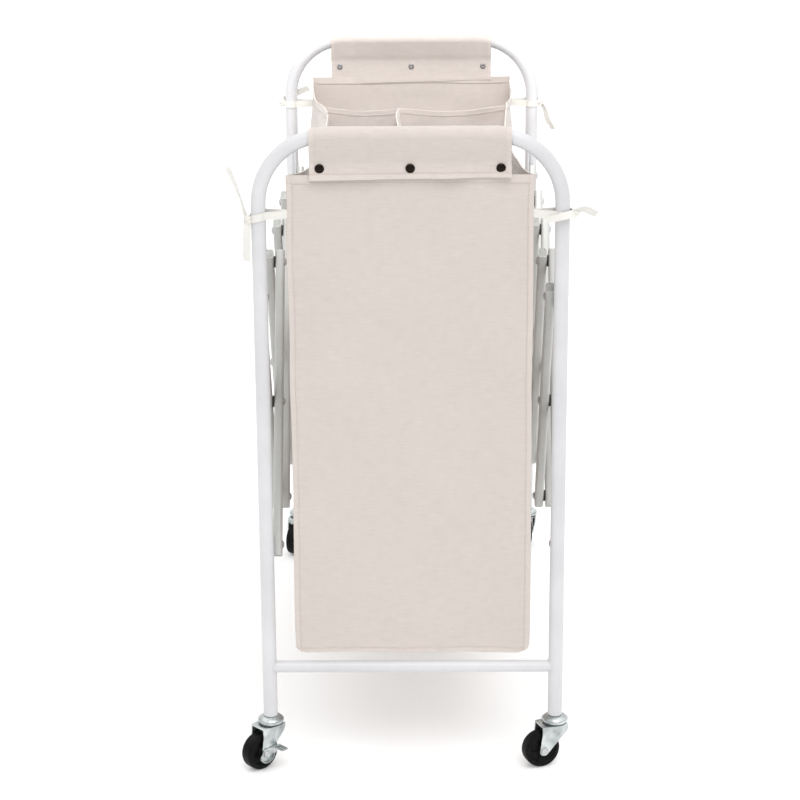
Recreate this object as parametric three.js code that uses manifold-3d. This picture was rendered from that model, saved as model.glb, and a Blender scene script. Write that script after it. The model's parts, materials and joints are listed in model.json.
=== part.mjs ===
// Laundry sorter on wheels: two arched tube frames joined by an accordion linkage on each side,
// with a hanging fabric liner in three compartments. Millimetres, +Z up, +Y along the length.
// The near frame stands at -Y. The origin is on the floor under the middle of the object.
import * as THREE from 'three';
import { mergeVertices } from 'three/addons/utils/BufferGeometryUtils.js';
import Module from 'manifold-3d';

const wasm = await Module();
wasm.setup();

// ---- driving dimensions ----
const gap = 0.3;                 // clearance kept between pieces that touch
const tubeRadius = 9.5;
const tubeWall = 1.2;
const frameWidth = 400;          // over the outsides of the legs
const frameHeight = 866;         // floor to the top of the arch
const bendRadius = 87;           // centreline of the two bends of an arch
const legBottom = 71;
const nearY = -404;              // plane of the near frame's legs
const farY = 396;                // plane of the far frame's legs
const railRadius = 8;
const railZ = 141;

const cells = 4;                 // scissor cells along the length
const pivotInset = 26;           // from a leg's centre to the first pivots
const pivotLow = 305;
const pivotHigh = 643;
const pivotHighFolded = 690.4;
const barWidth = 18;
const barThickness = 12;
const barWall = 1.2;
const barOverhang = 15;          // bar end beyond its end pivot
const innerBarX = 177.5;         // middle of the bars in the inner plane
const outerBarX = 192;           // middle of the bars in the outer plane
const plateThickness = 1.9;      // spacers, pivot tabs and slotted plates
const shankRadius = 3;
const pivotHoleRadius = 3.4;
const headRadius = 5.5;
const headHeight = 3;
const spacerRadius = 8;

const wheelRadius = 25;
const wheelHalfWidth = 9.5;
const wheelBore = 4;
const casterTrail = 20.5;
const forkHalfWidth = 13.5;
const forkSheet = 2;
const forkTop = 60;
const axleRadius = 3.4;
const axleHole = 3.8;

const linerHalfWidth = 156;
const linerBottom = 160;
const linerRim = 806;
const panelThickness = 1.6;
const panelFace = 0.5;           // from the frame's plane to the end panel's outer face
const farCompartmentShare = 0.335;
const longDividerX = -18;
const flapHalfWidth = 126;
const flapSheet = 1.5;
const flapBottom = 802;
const flapKneeZ = 822;           // where the two layers of a flap meet below the tube
const snapZ = 815;
const snapSpacing = 113;
const tieZ = 757;
const tieWidth = 10;
const tieReach = 232;            // half the overall width, at the ends of the ties' tails

// Swivel angle of each caster: 0 has the wheel trailing towards -X, 90 towards -Y.
const casterList = [
  { name: 'near_left', x: -1, y: nearY, angle: 43, brakeSide: 1 },
  { name: 'near_right', x: 1, y: nearY, angle: 22, brakeSide: 0 },
  { name: 'far_left', x: -1, y: farY, angle: 72, brakeSide: 0 },
  { name: 'far_right', x: 1, y: farY, angle: -84, brakeSide: 1 },
];

// ---- values worked out from them ----
const legX = frameWidth / 2 - tubeRadius;
const archZ = frameHeight - tubeRadius;
const firstPivotY = nearY + pivotInset;
const pitch = (farY - nearY - 2 * pivotInset) / cells;
const pivotRise = pivotHigh - pivotLow;
const barPivotLength = Math.hypot(pitch, pivotRise);
const barLean = Math.atan2(pitch, pivotRise);
const interfaceX = (innerBarX + outerBarX) / 2;
const linerStartY = nearY + panelFace + panelThickness + gap;
const linerEndY = farY - panelFace - panelThickness - gap;
const dividerY = linerEndY - farCompartmentShare * (linerEndY - linerStartY);

// ---- colours ----
const paint = { color: 0xe4e6ea, roughness: 0.35, metalness: 0.1 };
const zinc = { color: 0xb9bcbd, roughness: 0.3, metalness: 0.9 };
const black = { color: 0x151515, roughness: 0.5, metalness: 0 };
const bronze = { color: 0x4a382d, roughness: 0.35, metalness: 0.8 };
const cloth = { color: 0xdccfc6, roughness: 0.95, metalness: 0 };

const laundrySorter = new THREE.Group();

function addPiece(name, geometry, finish) {
  const mesh = new THREE.Mesh(geometry, new THREE.MeshStandardMaterial(finish));
  mesh.name = name;
  laundrySorter.add(mesh);
  return mesh;
}

function bare(geometry) {
  const copy = geometry.index ? geometry.clone() : mergeVertices(geometry);
  copy.deleteAttribute('normal');
  copy.deleteAttribute('uv');
  return mergeVertices(copy, 1e-4);
}

function toSolid(geometry) {
  const merged = bare(geometry);
  const vertProperties = new Float32Array(merged.attributes.position.array);
  const triVerts = new Uint32Array(merged.index.array);
  return new wasm.Manifold(new wasm.Mesh({ numProp: 3, vertProperties, triVerts }));
}

function toGeometry(solid) {
  const mesh = solid.getMesh();
  const geometry = new THREE.BufferGeometry();
  geometry.setAttribute('position', new THREE.BufferAttribute(mesh.vertProperties, 3));
  geometry.setIndex(new THREE.BufferAttribute(mesh.triVerts, 1));
  return geometry;
}

function join(geometries) {
  const solids = geometries.map(toSolid);
  return toGeometry(solids.reduce((whole, piece) => whole.add(piece)));
}

function cut(geometry, tools) {
  return toGeometry(tools.map(toSolid).reduce((whole, tool) => whole.subtract(tool), toSolid(geometry)));
}

function box(low, high) {
  const size = high.map((value, axis) => value - low[axis]);
  const centre = high.map((value, axis) => (value + low[axis]) / 2);
  return new THREE.BoxGeometry(...size).translate(...centre);
}

function polygon(radius, sides, centreU = 0, centreV = 0) {
  return Array.from({ length: sides }, (_, index) => {
    const turn = ((index + 0.5) / sides) * 2 * Math.PI;
    return new THREE.Vector2(centreU + radius * Math.cos(turn), centreV + radius * Math.sin(turn));
  });
}

// Extrudes an outline drawn in (u, v) by a depth along the third direction, centred on 0.
function slab(outline, depth, holes = []) {
  const shape = new THREE.Shape(outline);
  shape.holes = holes.map((points) => new THREE.Path(points));
  return new THREE.ExtrudeGeometry(shape, { depth, bevelEnabled: false }).translate(0, 0, -depth / 2);
}

// The outline's u runs along +Y and its v along +Z; the slab is centred on x.
function slabAlongX(outline, depth, x, holes = []) {
  const turn = new THREE.Matrix4().makeBasis(
    new THREE.Vector3(0, 1, 0),
    new THREE.Vector3(0, 0, 1),
    new THREE.Vector3(1, 0, 0),
  );
  return slab(outline, depth, holes).applyMatrix4(turn).translate(x, 0, 0);
}

// Turns a profile of (radius, height) pairs about +Z.
function turned(profile, sides) {
  const points = profile.map(([radius, height]) => new THREE.Vector2(radius, height));
  return new THREE.LatheGeometry(points, sides).rotateX(Math.PI / 2);
}

function discAlongX(radius, lowX, highX, z) {
  return slab(polygon(radius, 8), highX - lowX).rotateY(Math.PI / 2).translate((lowX + highX) / 2, 0, z);
}

// ---- arched frames ----

// An arch's centreline from the foot of one leg to the other. Its parameter steps from station
// to station, so that the straight stretches take one step each.
class ArchLine extends THREE.Curve {
  constructor(y) {
    super();
    const stepsPerBend = 6;
    const innerX = legX - bendRadius;
    const bendZ = archZ - bendRadius;
    this.stations = [[-legX, legBottom, 0]];
    for (const side of [-1, 1]) {
      for (let step = 0; step <= stepsPerBend; step += 1) {
        const share = side < 0 ? step : stepsPerBend - step;
        const turn = (share / stepsPerBend) * (Math.PI / 2);
        const x = side * (innerX + bendRadius * Math.cos(turn));
        const z = bendZ + bendRadius * Math.sin(turn);
        this.stations.push([x, z, side < 0 ? turn : Math.PI - turn]);
      }
    }
    this.stations.push([legX, legBottom, Math.PI]);
    this.y = y;
    this.steps = this.stations.length - 1;
  }

  getPoint(t) {
    const [x, z] = this.stations[Math.round(t * this.steps)];
    return new THREE.Vector3(x, this.y, z);
  }

  getTangent(t) {
    const turn = this.stations[Math.round(t * this.steps)][2];
    return new THREE.Vector3(Math.sin(turn), 0, Math.cos(turn));
  }

  getUtoTmapping(u) {
    return u;
  }
}

function archTube(y) {
  const line = new ArchLine(y);
  const sides = 12;
  const section = new THREE.Shape(polygon(tubeRadius, sides));
  section.holes = [new THREE.Path(polygon(tubeRadius - tubeWall, sides))];
  return new THREE.ExtrudeGeometry(section, { steps: line.steps, extrudePath: line });
}

// Pivot tab and slotted plate, welded to the inner-length side of each leg. They lie in the plane
// between the two rows of bars.
function legPlates(y, towards) {
  const startY = y + towards * (tubeRadius - 3);
  const pivotY = y + towards * pivotInset;
  const endY = pivotY + towards * barWidth / 2;
  const margin = 14;
  const outline = (lowZ, highZ) => [
    new THREE.Vector2(startY, lowZ),
    new THREE.Vector2(endY, lowZ + 4),
    new THREE.Vector2(endY, highZ - 4),
    new THREE.Vector2(startY, highZ),
  ];
  const slotTurns = [0.125, 0.375, 0.625, 0.875].map((turn) => turn * 2 * Math.PI);
  const slotRadius = pivotHoleRadius / Math.cos(Math.PI / 4);
  const slot = slotTurns.map((turn) => {
    const endZ = Math.sin(turn) > 0 ? pivotHighFolded : pivotHigh;
    const z = endZ + slotRadius * Math.sin(turn);
    return new THREE.Vector2(pivotY + slotRadius * Math.cos(turn), z);
  });
  const hole = polygon(pivotHoleRadius, 8, pivotY, pivotLow);
  const plates = [];
  for (const side of [-1, 1]) {
    const x = side * interfaceX;
    plates.push(slabAlongX(outline(pivotLow - margin, pivotLow + margin), plateThickness, x, [hole]));
    plates.push(slabAlongX(outline(pivotHigh - margin, pivotHighFolded + margin), plateThickness, x, [slot]));
  }
  return plates;
}

function rail(y) {
  const length = 2 * (legX - tubeRadius - gap);
  const ring = slab(polygon(railRadius, 12), length, [polygon(railRadius - tubeWall, 12)]);
  return ring.rotateY(Math.PI / 2).translate(0, y, railZ);
}

for (const [name, y, towards] of [['near', nearY, 1], ['far', farY, -1]]) {
  addPiece(`${name}_arch`, join([archTube(y), ...legPlates(y, towards)]), paint);
  addPiece(`${name}_rail`, rail(y), paint);
}

// ---- accordion linkage ----

// A flat bar of box section, upright, about the origin.
function barBlank() {
  const length = barPivotLength + 2 * barOverhang;
  const section = (halfU, halfV, corner) => [
    [halfU, halfV - corner], [halfU - corner, halfV], [-halfU + corner, halfV], [-halfU, halfV - corner],
    [-halfU, -halfV + corner], [-halfU + corner, -halfV], [halfU - corner, -halfV], [halfU, -halfV + corner],
  ].map(([u, v]) => new THREE.Vector2(u, v));
  const halfU = barThickness / 2;
  const halfV = barWidth / 2;
  return slab(section(halfU, halfV, 3), length, [section(halfU - barWall, halfV - barWall, 2.4)]);
}

const blank = toSolid(barBlank());
const halfBar = barThickness / 2;
const partnerOffset = outerBarX - innerBarX;   // between the middles of the two rows of bars
const plateOffset = partnerOffset / 2;         // from a bar's middle to the plates' plane

// A rivet fixed in a bar at height z. It reaches out to one side through what it carries there,
// and has a head at each end.
function rivet(reach, towards, z) {
  const along = (from, to) => [Math.min(towards * from, towards * to), Math.max(towards * from, towards * to)];
  return [
    discAlongX(shankRadius, ...along(-halfBar - 1, reach + 1), z),
    discAlongX(headRadius, ...along(-halfBar - headHeight, -halfBar + 0.1), z),
    discAlongX(headRadius, ...along(reach, reach + headHeight), z),
  ];
}

// A rising bar has its rivets fixed in it, each with a spacer beside its partner bar.
function risingBar(cell) {
  const throughBar = partnerOffset + halfBar + gap;
  const throughPlate = plateOffset + plateThickness / 2 + gap;
  const spacerEnd = plateOffset + plateThickness / 2;
  const half = barPivotLength / 2;
  const lowReach = cell === 0 ? throughPlate : throughBar;
  const highReach = cell === cells - 1 ? throughPlate : throughBar;
  const pivots = [[-half, lowReach], [0, throughBar], [half, highReach]];
  let solid = blank;
  for (const [z, reach] of pivots) {
    const pieces = rivet(reach, -1, z);
    if (reach === throughBar) pieces.push(discAlongX(spacerRadius, -spacerEnd, -halfBar + 0.1, z));
    for (const piece of pieces) solid = solid.add(toSolid(piece));
  }
  return toGeometry(solid);
}

// A falling bar has a hole for each rivet of its partners, and a rivet of its own at a frame.
function fallingBar(cell) {
  const throughPlate = plateOffset + plateThickness / 2 + gap;
  const half = barPivotLength / 2;
  const ownPins = [];
  if (cell === 0) ownPins.push(half);
  if (cell === cells - 1) ownPins.push(-half);
  let solid = blank;
  for (const z of [-half, 0, half]) {
    if (!ownPins.includes(z)) {
      solid = solid.subtract(toSolid(discAlongX(pivotHoleRadius, -halfBar - 2, halfBar + 2, z)));
    }
  }
  for (const z of ownPins) {
    for (const piece of rivet(throughPlate, 1, z)) solid = solid.add(toSolid(piece));
  }
  return toGeometry(solid);
}

// A rising bar goes up towards +Y, and a falling bar goes down towards +Y. Both sides carry the
// same linkage, so the falling bars are outside on the left and inside on the right.
const middleZ = (pivotLow + pivotHigh) / 2;
for (const [name, side] of [['left', -1], ['right', 1]]) {
  const risingX = side * (side < 0 ? innerBarX : outerBarX);
  const fallingX = side * (side < 0 ? outerBarX : innerBarX);
  for (let cell = 0; cell < cells; cell += 1) {
    const middleY = firstPivotY + (cell + 0.5) * pitch;
    const rising = risingBar(cell).rotateX(-barLean).translate(risingX, middleY, middleZ);
    const falling = fallingBar(cell).rotateX(barLean).translate(fallingX, middleY, middleZ);
    addPiece(`${name}_rising_bar_${cell + 1}`, rising, paint);
    addPiece(`${name}_falling_bar_${cell + 1}`, falling, paint);
  }
}

// ---- casters ----
// Each caster is drawn about its stem with the wheel trailing along +X, then turned and placed.

function casterStem() {
  const profile = [
    [0, 54.2], [7, 54.2], [7, forkTop - forkSheet - gap], [4, forkTop - forkSheet - gap],
    [4, forkTop + gap], [12, forkTop + gap], [17.5, 62.8], [17.5, 66.5],
    [11, legBottom - gap], [5, legBottom - gap], [5, 108], [0, 108],
  ];
  return turned(profile, 14);
}

function arc(centreU, centreV, radius, fromDegrees, toDegrees, steps) {
  return Array.from({ length: steps + 1 }, (_, index) => {
    const turn = THREE.MathUtils.degToRad(fromDegrees + ((toDegrees - fromDegrees) * index) / steps);
    return new THREE.Vector2(centreU + radius * Math.cos(turn), centreV + radius * Math.sin(turn));
  });
}

// Stands an outline drawn in (x, z) up in the wheel's plane, between two lateral places.
function upright(outline, lowY, highY, holes = []) {
  return slab(outline, highY - lowY, holes).rotateX(Math.PI / 2).translate(0, (lowY + highY) / 2, 0);
}

function fork() {
  const top = [...arc(0, 0, 16.5, 90, 270, 8), new THREE.Vector2(23, -forkHalfWidth), new THREE.Vector2(23, forkHalfWidth)];
  const topPlate = slab(top, forkSheet, [polygon(4.6, 10)]).translate(0, 0, forkTop - forkSheet / 2);
  const cheekOutline = [
    new THREE.Vector2(-14, forkTop - 0.5),
    new THREE.Vector2(-13, 52),
    ...arc(casterTrail, wheelRadius, 6.5, 215, 350, 5),
    new THREE.Vector2(23, forkTop - 0.5),
  ];
  const hole = polygon(axleHole, 10, casterTrail, wheelRadius);
  let solid = toSolid(topPlate);
  for (const side of [-1, 1]) {
    const outer = side * forkHalfWidth;
    const inner = side * (forkHalfWidth - forkSheet);
    solid = solid.add(toSolid(upright(cheekOutline, Math.min(outer, inner), Math.max(outer, inner), [hole])));
  }
  return toGeometry(solid);
}

function wheel() {
  const shoulder = 2.6;
  const profile = [
    [wheelBore, -wheelHalfWidth],
    [wheelRadius - shoulder, -wheelHalfWidth],
    [wheelRadius, -wheelHalfWidth + shoulder],
    [wheelRadius, wheelHalfWidth - shoulder],
    [wheelRadius - shoulder, wheelHalfWidth],
    [wheelBore, wheelHalfWidth],
    [wheelBore, -wheelHalfWidth],
  ];
  return turned(profile, 24).rotateX(Math.PI / 2).translate(casterTrail, 0, wheelRadius);
}

// The axle's heads clear the fork's cheeks, and the brake lever where there is one.
function axle(brakeSide) {
  const leverRoom = 1.9;
  const low = -forkHalfWidth - gap - (brakeSide < 0 ? leverRoom : 0);
  const high = forkHalfWidth + gap + (brakeSide > 0 ? leverRoom : 0);
  const head = 2;
  const profile = [
    [0, low - head], [5.2, low - head], [5.2, low], [axleRadius, low],
    [axleRadius, high], [5.2, high], [5.2, high + head], [0, high + head],
  ];
  return turned(profile, 10).rotateX(-Math.PI / 2).translate(casterTrail, 0, wheelRadius);
}

// A side plate on the axle with a foot tab bent outwards at its free end.
function brakeLever(side) {
  const lowY = forkHalfWidth + gap;
  const highY = lowY + 1.6;
  const plate = [
    ...arc(casterTrail, wheelRadius, 13, 200, 340, 6),
    ...arc(casterTrail, wheelRadius, 7.5, 20, 110, 3),
    new THREE.Vector2(-4, 32),
    new THREE.Vector2(-6, 26),
  ];
  const hole = polygon(axleHole, 10, casterTrail, wheelRadius);
  const lever = join([upright(plate, lowY, highY, [hole]), box([-6, lowY, 28], [5, 29, 29.6])]);
  return side > 0 ? lever : lever.rotateX(Math.PI).translate(0, 0, 2 * wheelRadius);
}

for (const caster of casterList) {
  const place = (geometry) => geometry
    .rotateZ(Math.PI + THREE.MathUtils.degToRad(caster.angle))
    .translate(caster.x * legX, caster.y, 0);
  addPiece(`${caster.name}_caster_stem`, place(casterStem()), zinc);
  addPiece(`${caster.name}_fork`, place(fork()), zinc);
  addPiece(`${caster.name}_wheel`, place(wheel()), black);
  addPiece(`${caster.name}_axle`, place(axle(caster.brakeSide)), zinc);
  if (caster.brakeSide) addPiece(`${caster.name}_brake_lever`, place(brakeLever(caster.brakeSide)), zinc);
}

// ---- fabric liner ----

const flapHug = tubeRadius + 1.1;   // inside radius of the fabric round an arch's top tube

// How far below the horizontal the fabric leaves the tube, on its way to the line where its layers meet.
function leaveAngle(offset) {
  const drop = archZ - flapKneeZ;
  const turn = Math.asin(flapHug / Math.hypot(drop, offset)) - Math.atan2(offset, drop);
  return THREE.MathUtils.radToDeg(turn);
}

// End panel with the tongue that goes up from its rim to the arch.
function endPanel(y, inwards) {
  const faceY = y + inwards * panelFace;
  const backY = faceY + inwards * panelThickness;
  const sheet = box(
    [-linerHalfWidth, Math.min(faceY, backY), linerBottom],
    [linerHalfWidth, Math.max(faceY, backY), linerRim],
  );
  const seam = 4;
  const tilt = leaveAngle(panelFace);
  const inner = arc(0, archZ, flapHug, -tilt, 88, 5);
  const outer = arc(0, archZ, flapHug + flapSheet, 88, -tilt, 5);
  const profile = [
    new THREE.Vector2(panelFace, linerRim - seam),
    new THREE.Vector2(panelFace, flapKneeZ),
    ...inner,
    ...outer,
    new THREE.Vector2(panelFace + flapSheet, flapKneeZ),
    new THREE.Vector2(panelFace + flapSheet, linerRim - seam),
  ].map((point) => new THREE.Vector2(y + inwards * point.x, point.y));
  return join([sheet, slabAlongX(profile, 2 * flapHalfWidth, 0)]);
}

// Outer leaf: over the top of the tube and down the outside, ending below the rim.
function flapLeaf(y, inwards) {
  const leafOffset = gap;
  const leafFace = -leafOffset;
  const tilt = leaveAngle(leafOffset);
  const profile = [
    ...arc(0, archZ, flapHug + flapSheet, 91.5, 180 + tilt, 6),
    new THREE.Vector2(leafFace - flapSheet, flapKneeZ),
    new THREE.Vector2(leafFace - flapSheet, flapBottom),
    new THREE.Vector2(leafFace, flapBottom),
    new THREE.Vector2(leafFace, flapKneeZ),
    ...arc(0, archZ, flapHug, 180 + tilt, 91.5, 6),
  ].map((point) => new THREE.Vector2(y + inwards * point.x, point.y));
  return slabAlongX(profile, 2 * flapHalfWidth, 0);
}

function snapCap(x, y, inwards) {
  const capRadius = 6;
  const capHeight = 2.4;
  const face = y - inwards * (2 * gap + flapSheet + capHeight / 2);
  return slab(polygon(capRadius, 12), capHeight).rotateX(Math.PI / 2).translate(x, face, snapZ);
}

// A tape from the liner's corner round the leg, with a knot outside the leg and two tails.
function tie(side, y, inwards) {
  const tapeY = y + inwards * (panelFace + 1);
  const tape = 0.8;
  const ringRadius = tubeRadius + 0.35;
  const ringOuter = ringRadius + 1.2;
  const strip = (fromX, toX, fromY, toY, lowZ, highZ) => box(
    [Math.min(side * fromX, side * toX), fromY, lowZ],
    [Math.max(side * fromX, side * toX), toY, highZ],
  );
  const lowZ = tieZ - tieWidth / 2;
  const highZ = tieZ + tieWidth / 2;
  const ring = slab(polygon(ringOuter, 12), tieWidth, [polygon(ringRadius, 12)]);
  const knotX = legX + ringRadius + 0.6;
  return join([
    strip(linerHalfWidth + gap, legX - ringRadius - 0.4, tapeY - tape / 2, tapeY + tape / 2, lowZ, highZ),
    ring.translate(side * legX, y, tieZ),
    strip(knotX, knotX + 9, y - 5, y + 5, tieZ - 6, tieZ + 6),
    strip(knotX + 8, tieReach, y - 4, y - 3.2, tieZ - 2, tieZ + 8),
    strip(knotX - 0.2, knotX + 8.6, y - 1, y + 1, tieZ - 56, tieZ),
  ]);
}

for (const [name, y, inwards] of [['near', nearY, 1], ['far', farY, -1]]) {
  addPiece(`${name}_panel`, endPanel(y, inwards), cloth);
  addPiece(`${name}_flap`, flapLeaf(y, inwards), cloth);
  for (const [place, side] of [['left', -1], ['middle', 0], ['right', 1]]) {
    addPiece(`${name}_${place}_snap`, snapCap(side * snapSpacing, y, inwards), bronze);
    if (side) addPiece(`${name}_${place}_tie`, tie(side, y, inwards), cloth);
  }
}

// The floor's seams: the other panels stand in grooves, so each compartment has a floor of its own.
const sideInnerX = linerHalfWidth - panelThickness;
const floorTop = linerBottom + panelThickness;
const seamBottom = floorTop - panelThickness / 2;
const dividerTop = linerRim - 4;
const halfPanel = panelThickness / 2;
for (const [name, side] of [['left', -1], ['right', 1]]) {
  const low = [Math.min(side * sideInnerX, side * linerHalfWidth), linerStartY, seamBottom + gap];
  const high = [Math.max(side * sideInnerX, side * linerHalfWidth), linerEndY, linerRim];
  addPiece(`${name}_side_panel`, box(low, high), cloth);
}
// A slab less its grooves: one along each side, one across, and one from the near end to the cross divider.
const groove = (lowX, highX, lowY, highY) => box([lowX, lowY, seamBottom], [highX, highY, floorTop + 1]);
const beyond = linerHalfWidth + 1;
addPiece('bottom_panel', cut(box([-linerHalfWidth, linerStartY, linerBottom], [linerHalfWidth, linerEndY, floorTop]), [
  groove(-beyond, -sideInnerX + gap, linerStartY - 1, linerEndY + 1),
  groove(sideInnerX - gap, beyond, linerStartY - 1, linerEndY + 1),
  groove(-beyond, beyond, dividerY - halfPanel - gap, dividerY + halfPanel + gap),
  groove(longDividerX - halfPanel - gap, longDividerX + halfPanel + gap, linerStartY - 1, dividerY),
]), cloth);
addPiece('cross_divider', box(
  [-sideInnerX + gap, dividerY - halfPanel, seamBottom + gap],
  [sideInnerX - gap, dividerY + halfPanel, dividerTop],
), cloth);
addPiece('long_divider', box(
  [longDividerX - halfPanel, linerStartY, seamBottom + gap],
  [longDividerX + halfPanel, dividerY - halfPanel - gap, dividerTop],
), cloth);

export default laundrySorter;
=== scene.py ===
"""Laundry sorter on wheels: the looks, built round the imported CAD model. Metres, +Z up."""
import json
import math

import bmesh
import bpy
import numpy as np
from mathutils import Matrix, Vector, noise


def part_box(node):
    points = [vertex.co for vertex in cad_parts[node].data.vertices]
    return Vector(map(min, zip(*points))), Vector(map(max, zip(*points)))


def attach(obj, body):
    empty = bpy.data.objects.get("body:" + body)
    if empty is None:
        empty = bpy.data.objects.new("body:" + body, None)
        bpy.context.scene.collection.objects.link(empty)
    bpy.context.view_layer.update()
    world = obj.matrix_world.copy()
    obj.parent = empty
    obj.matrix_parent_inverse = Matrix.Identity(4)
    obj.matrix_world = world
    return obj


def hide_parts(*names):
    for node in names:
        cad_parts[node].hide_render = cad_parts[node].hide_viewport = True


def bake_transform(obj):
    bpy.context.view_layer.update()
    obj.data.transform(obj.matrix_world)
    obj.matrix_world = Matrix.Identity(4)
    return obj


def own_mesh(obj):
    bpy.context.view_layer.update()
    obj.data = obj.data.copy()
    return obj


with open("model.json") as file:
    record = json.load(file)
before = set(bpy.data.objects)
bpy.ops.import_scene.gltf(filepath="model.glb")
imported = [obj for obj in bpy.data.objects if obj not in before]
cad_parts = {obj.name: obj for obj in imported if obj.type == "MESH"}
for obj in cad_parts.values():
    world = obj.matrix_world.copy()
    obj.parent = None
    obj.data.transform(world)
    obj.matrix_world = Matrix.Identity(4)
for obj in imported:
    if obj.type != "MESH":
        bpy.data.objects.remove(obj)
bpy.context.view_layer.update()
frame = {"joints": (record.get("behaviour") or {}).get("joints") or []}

# ---- camera, first ----

CAMERA_PLACE = Vector((0.0087, -3.185, 1.3843))
CAMERA_YAW = 0.00833
CAMERA_PITCH = 0.30373
CAMERA_ROLL = -0.00624
CAMERA_LENS = 102.16
SENSOR = 36.0


def make_camera():
    sy, cy = math.sin(CAMERA_YAW), math.cos(CAMERA_YAW)
    sp, cp = math.sin(CAMERA_PITCH), math.cos(CAMERA_PITCH)
    sr, cr = math.sin(CAMERA_ROLL), math.cos(CAMERA_ROLL)
    right = Vector((cy, sy, 0))
    up = Vector((-sy * sp, cy * sp, cp))
    forward = Vector((-sy * cp, cy * cp, -sp))
    axes = (right * cr + up * sr, up * cr - right * sr, -forward)
    data = bpy.data.cameras.new("camera")
    data.lens = CAMERA_LENS
    data.sensor_width = SENSOR
    data.clip_end = 60
    camera = bpy.data.objects.new("camera", data)
    turn = Matrix([axes[0], axes[1], axes[2]]).transposed().to_4x4()
    camera.matrix_world = Matrix.Translation(CAMERA_PLACE) @ turn
    bpy.context.scene.collection.objects.link(camera)
    bpy.context.scene.camera = camera


make_camera()

# ---- sizes, in metres ----

TUBE_RADIUS = 0.0095
BEND_RADIUS = 0.087
RAIL_RADIUS = 0.008
BAR_WIDTH = 0.018
BAR_THICKNESS = 0.012
BAR_OVERHANG = 0.015
BAR_WALL = 0.0012
PLATE_THICKNESS = 0.0019
SLOT_LENGTH = 0.0474
HEAD_RADIUS = 0.0055
HEAD_HEIGHT = 0.0028
SPACER_RADIUS = 0.008
CLEARANCE = 0.0003
CLOTH = 0.001                 # canvas thickness
HEM = 0.012                   # height of the hem round the liner's rim

# ---- places taken from the CAD model ----

joints = {joint["name"]: joint for joint in frame["joints"]}


def joint_place(name):
    return Vector(joints[name]["pos_m"])


def middle(node):
    low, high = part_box(node)
    return (low + high) / 2


LEG_X = middle("near_right_caster_stem").x
NEAR_Y = middle("near_right_caster_stem").y
FAR_Y = middle("far_right_caster_stem").y
LEG_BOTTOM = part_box("near_arch")[0].z
ARCH_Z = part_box("near_arch")[1].z - TUBE_RADIUS * math.cos(math.pi / 12)
RAIL_Z = middle("near_rail").z
RIM_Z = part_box("left_side_panel")[1].z
BASE_Z = middle("bottom_panel").z
LINER_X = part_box("near_panel")[1].x - CLOTH
NEAR_PANEL_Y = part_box("near_panel")[0].y + CLOTH
FAR_PANEL_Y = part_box("far_panel")[1].y - CLOTH
DIVIDER_Y = middle("cross_divider").y
LONG_DIVIDER_X = middle("long_divider").x
TIE_Z = 0.757
CELLS = 4
SIDES = (("left", -1), ("right", 1))
ENDS = (("near", NEAR_Y, 1), ("far", FAR_Y, -1))

# ---- shapes ----


class Shape:
    """Points and faces gathered from several parts before they become one mesh."""

    def __init__(self):
        self.points = []
        self.faces = []

    def add(self, part, place=None):
        points, faces = part
        start = len(self.points)
        for point in points:
            self.points.append(place @ Vector(point) if place else Vector(point))
        self.faces += [[start + index for index in face] for face in faces]
        return self

    def mesh(self, name):
        mesh = bpy.data.meshes.new(name)
        mesh.from_pydata([tuple(point) for point in self.points], [], self.faces)
        work = bmesh.new()
        work.from_mesh(mesh)
        bmesh.ops.recalc_face_normals(work, faces=work.faces)
        work.to_mesh(mesh)
        work.free()
        return mesh


def add_piece(name, mesh, body, material, replaced=(), crease=35):
    if isinstance(mesh, Shape):
        mesh = mesh.mesh(name)
    piece = bpy.data.objects.new(name, mesh)
    bpy.context.scene.collection.objects.link(piece)
    mesh.materials.clear()
    mesh.materials.append(material)
    mesh.polygons.foreach_set("use_smooth", [True] * len(mesh.polygons))
    mesh.set_sharp_from_angle(angle=math.radians(crease))
    if body:
        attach(piece, body)
    if replaced:
        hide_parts(*replaced)
    return piece


def loft(loops, closed_ends=True):
    """A skin over closed loops of the same number of points."""
    count = len(loops[0])
    points = [point for loop in loops for point in loop]
    faces = []
    for row in range(len(loops) - 1):
        for index in range(count):
            after = (index + 1) % count
            first = row * count
            second = first + count
            faces.append([first + index, first + after, second + after, second + index])
    if closed_ends:
        faces.append(list(range(count))[::-1])
        faces.append([(len(loops) - 1) * count + index for index in range(count)])
    return points, faces


def circle(radius, sides):
    turns = [2 * math.pi * index / sides for index in range(sides)]
    return [(radius * math.cos(turn), radius * math.sin(turn)) for turn in turns]


def rounded_loop(half_a, half_b, radius, steps=4):
    loop = []
    for corner, (a, b) in enumerate(((1, 1), (-1, 1), (-1, -1), (1, -1))):
        for step in range(steps + 1):
            turn = math.pi / 2 * (corner + step / steps)
            loop.append((
                a * (half_a - radius) + radius * math.cos(turn),
                b * (half_b - radius) + radius * math.sin(turn),
            ))
    return loop


def sweep(line, section, first_axis, scales=None):
    """Carries a section along a line. first_axis is constant; the second follows the line."""
    loops = []
    for index, point in enumerate(line):
        ahead = line[min(index + 1, len(line) - 1)] - line[max(index - 1, 0)]
        second = ahead.cross(first_axis).normalized()
        scale = scales[index] if scales else 1
        loops.append([point + first_axis * (a * scale) + second * (b * scale) for a, b in section])
    return loft(loops)


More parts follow.
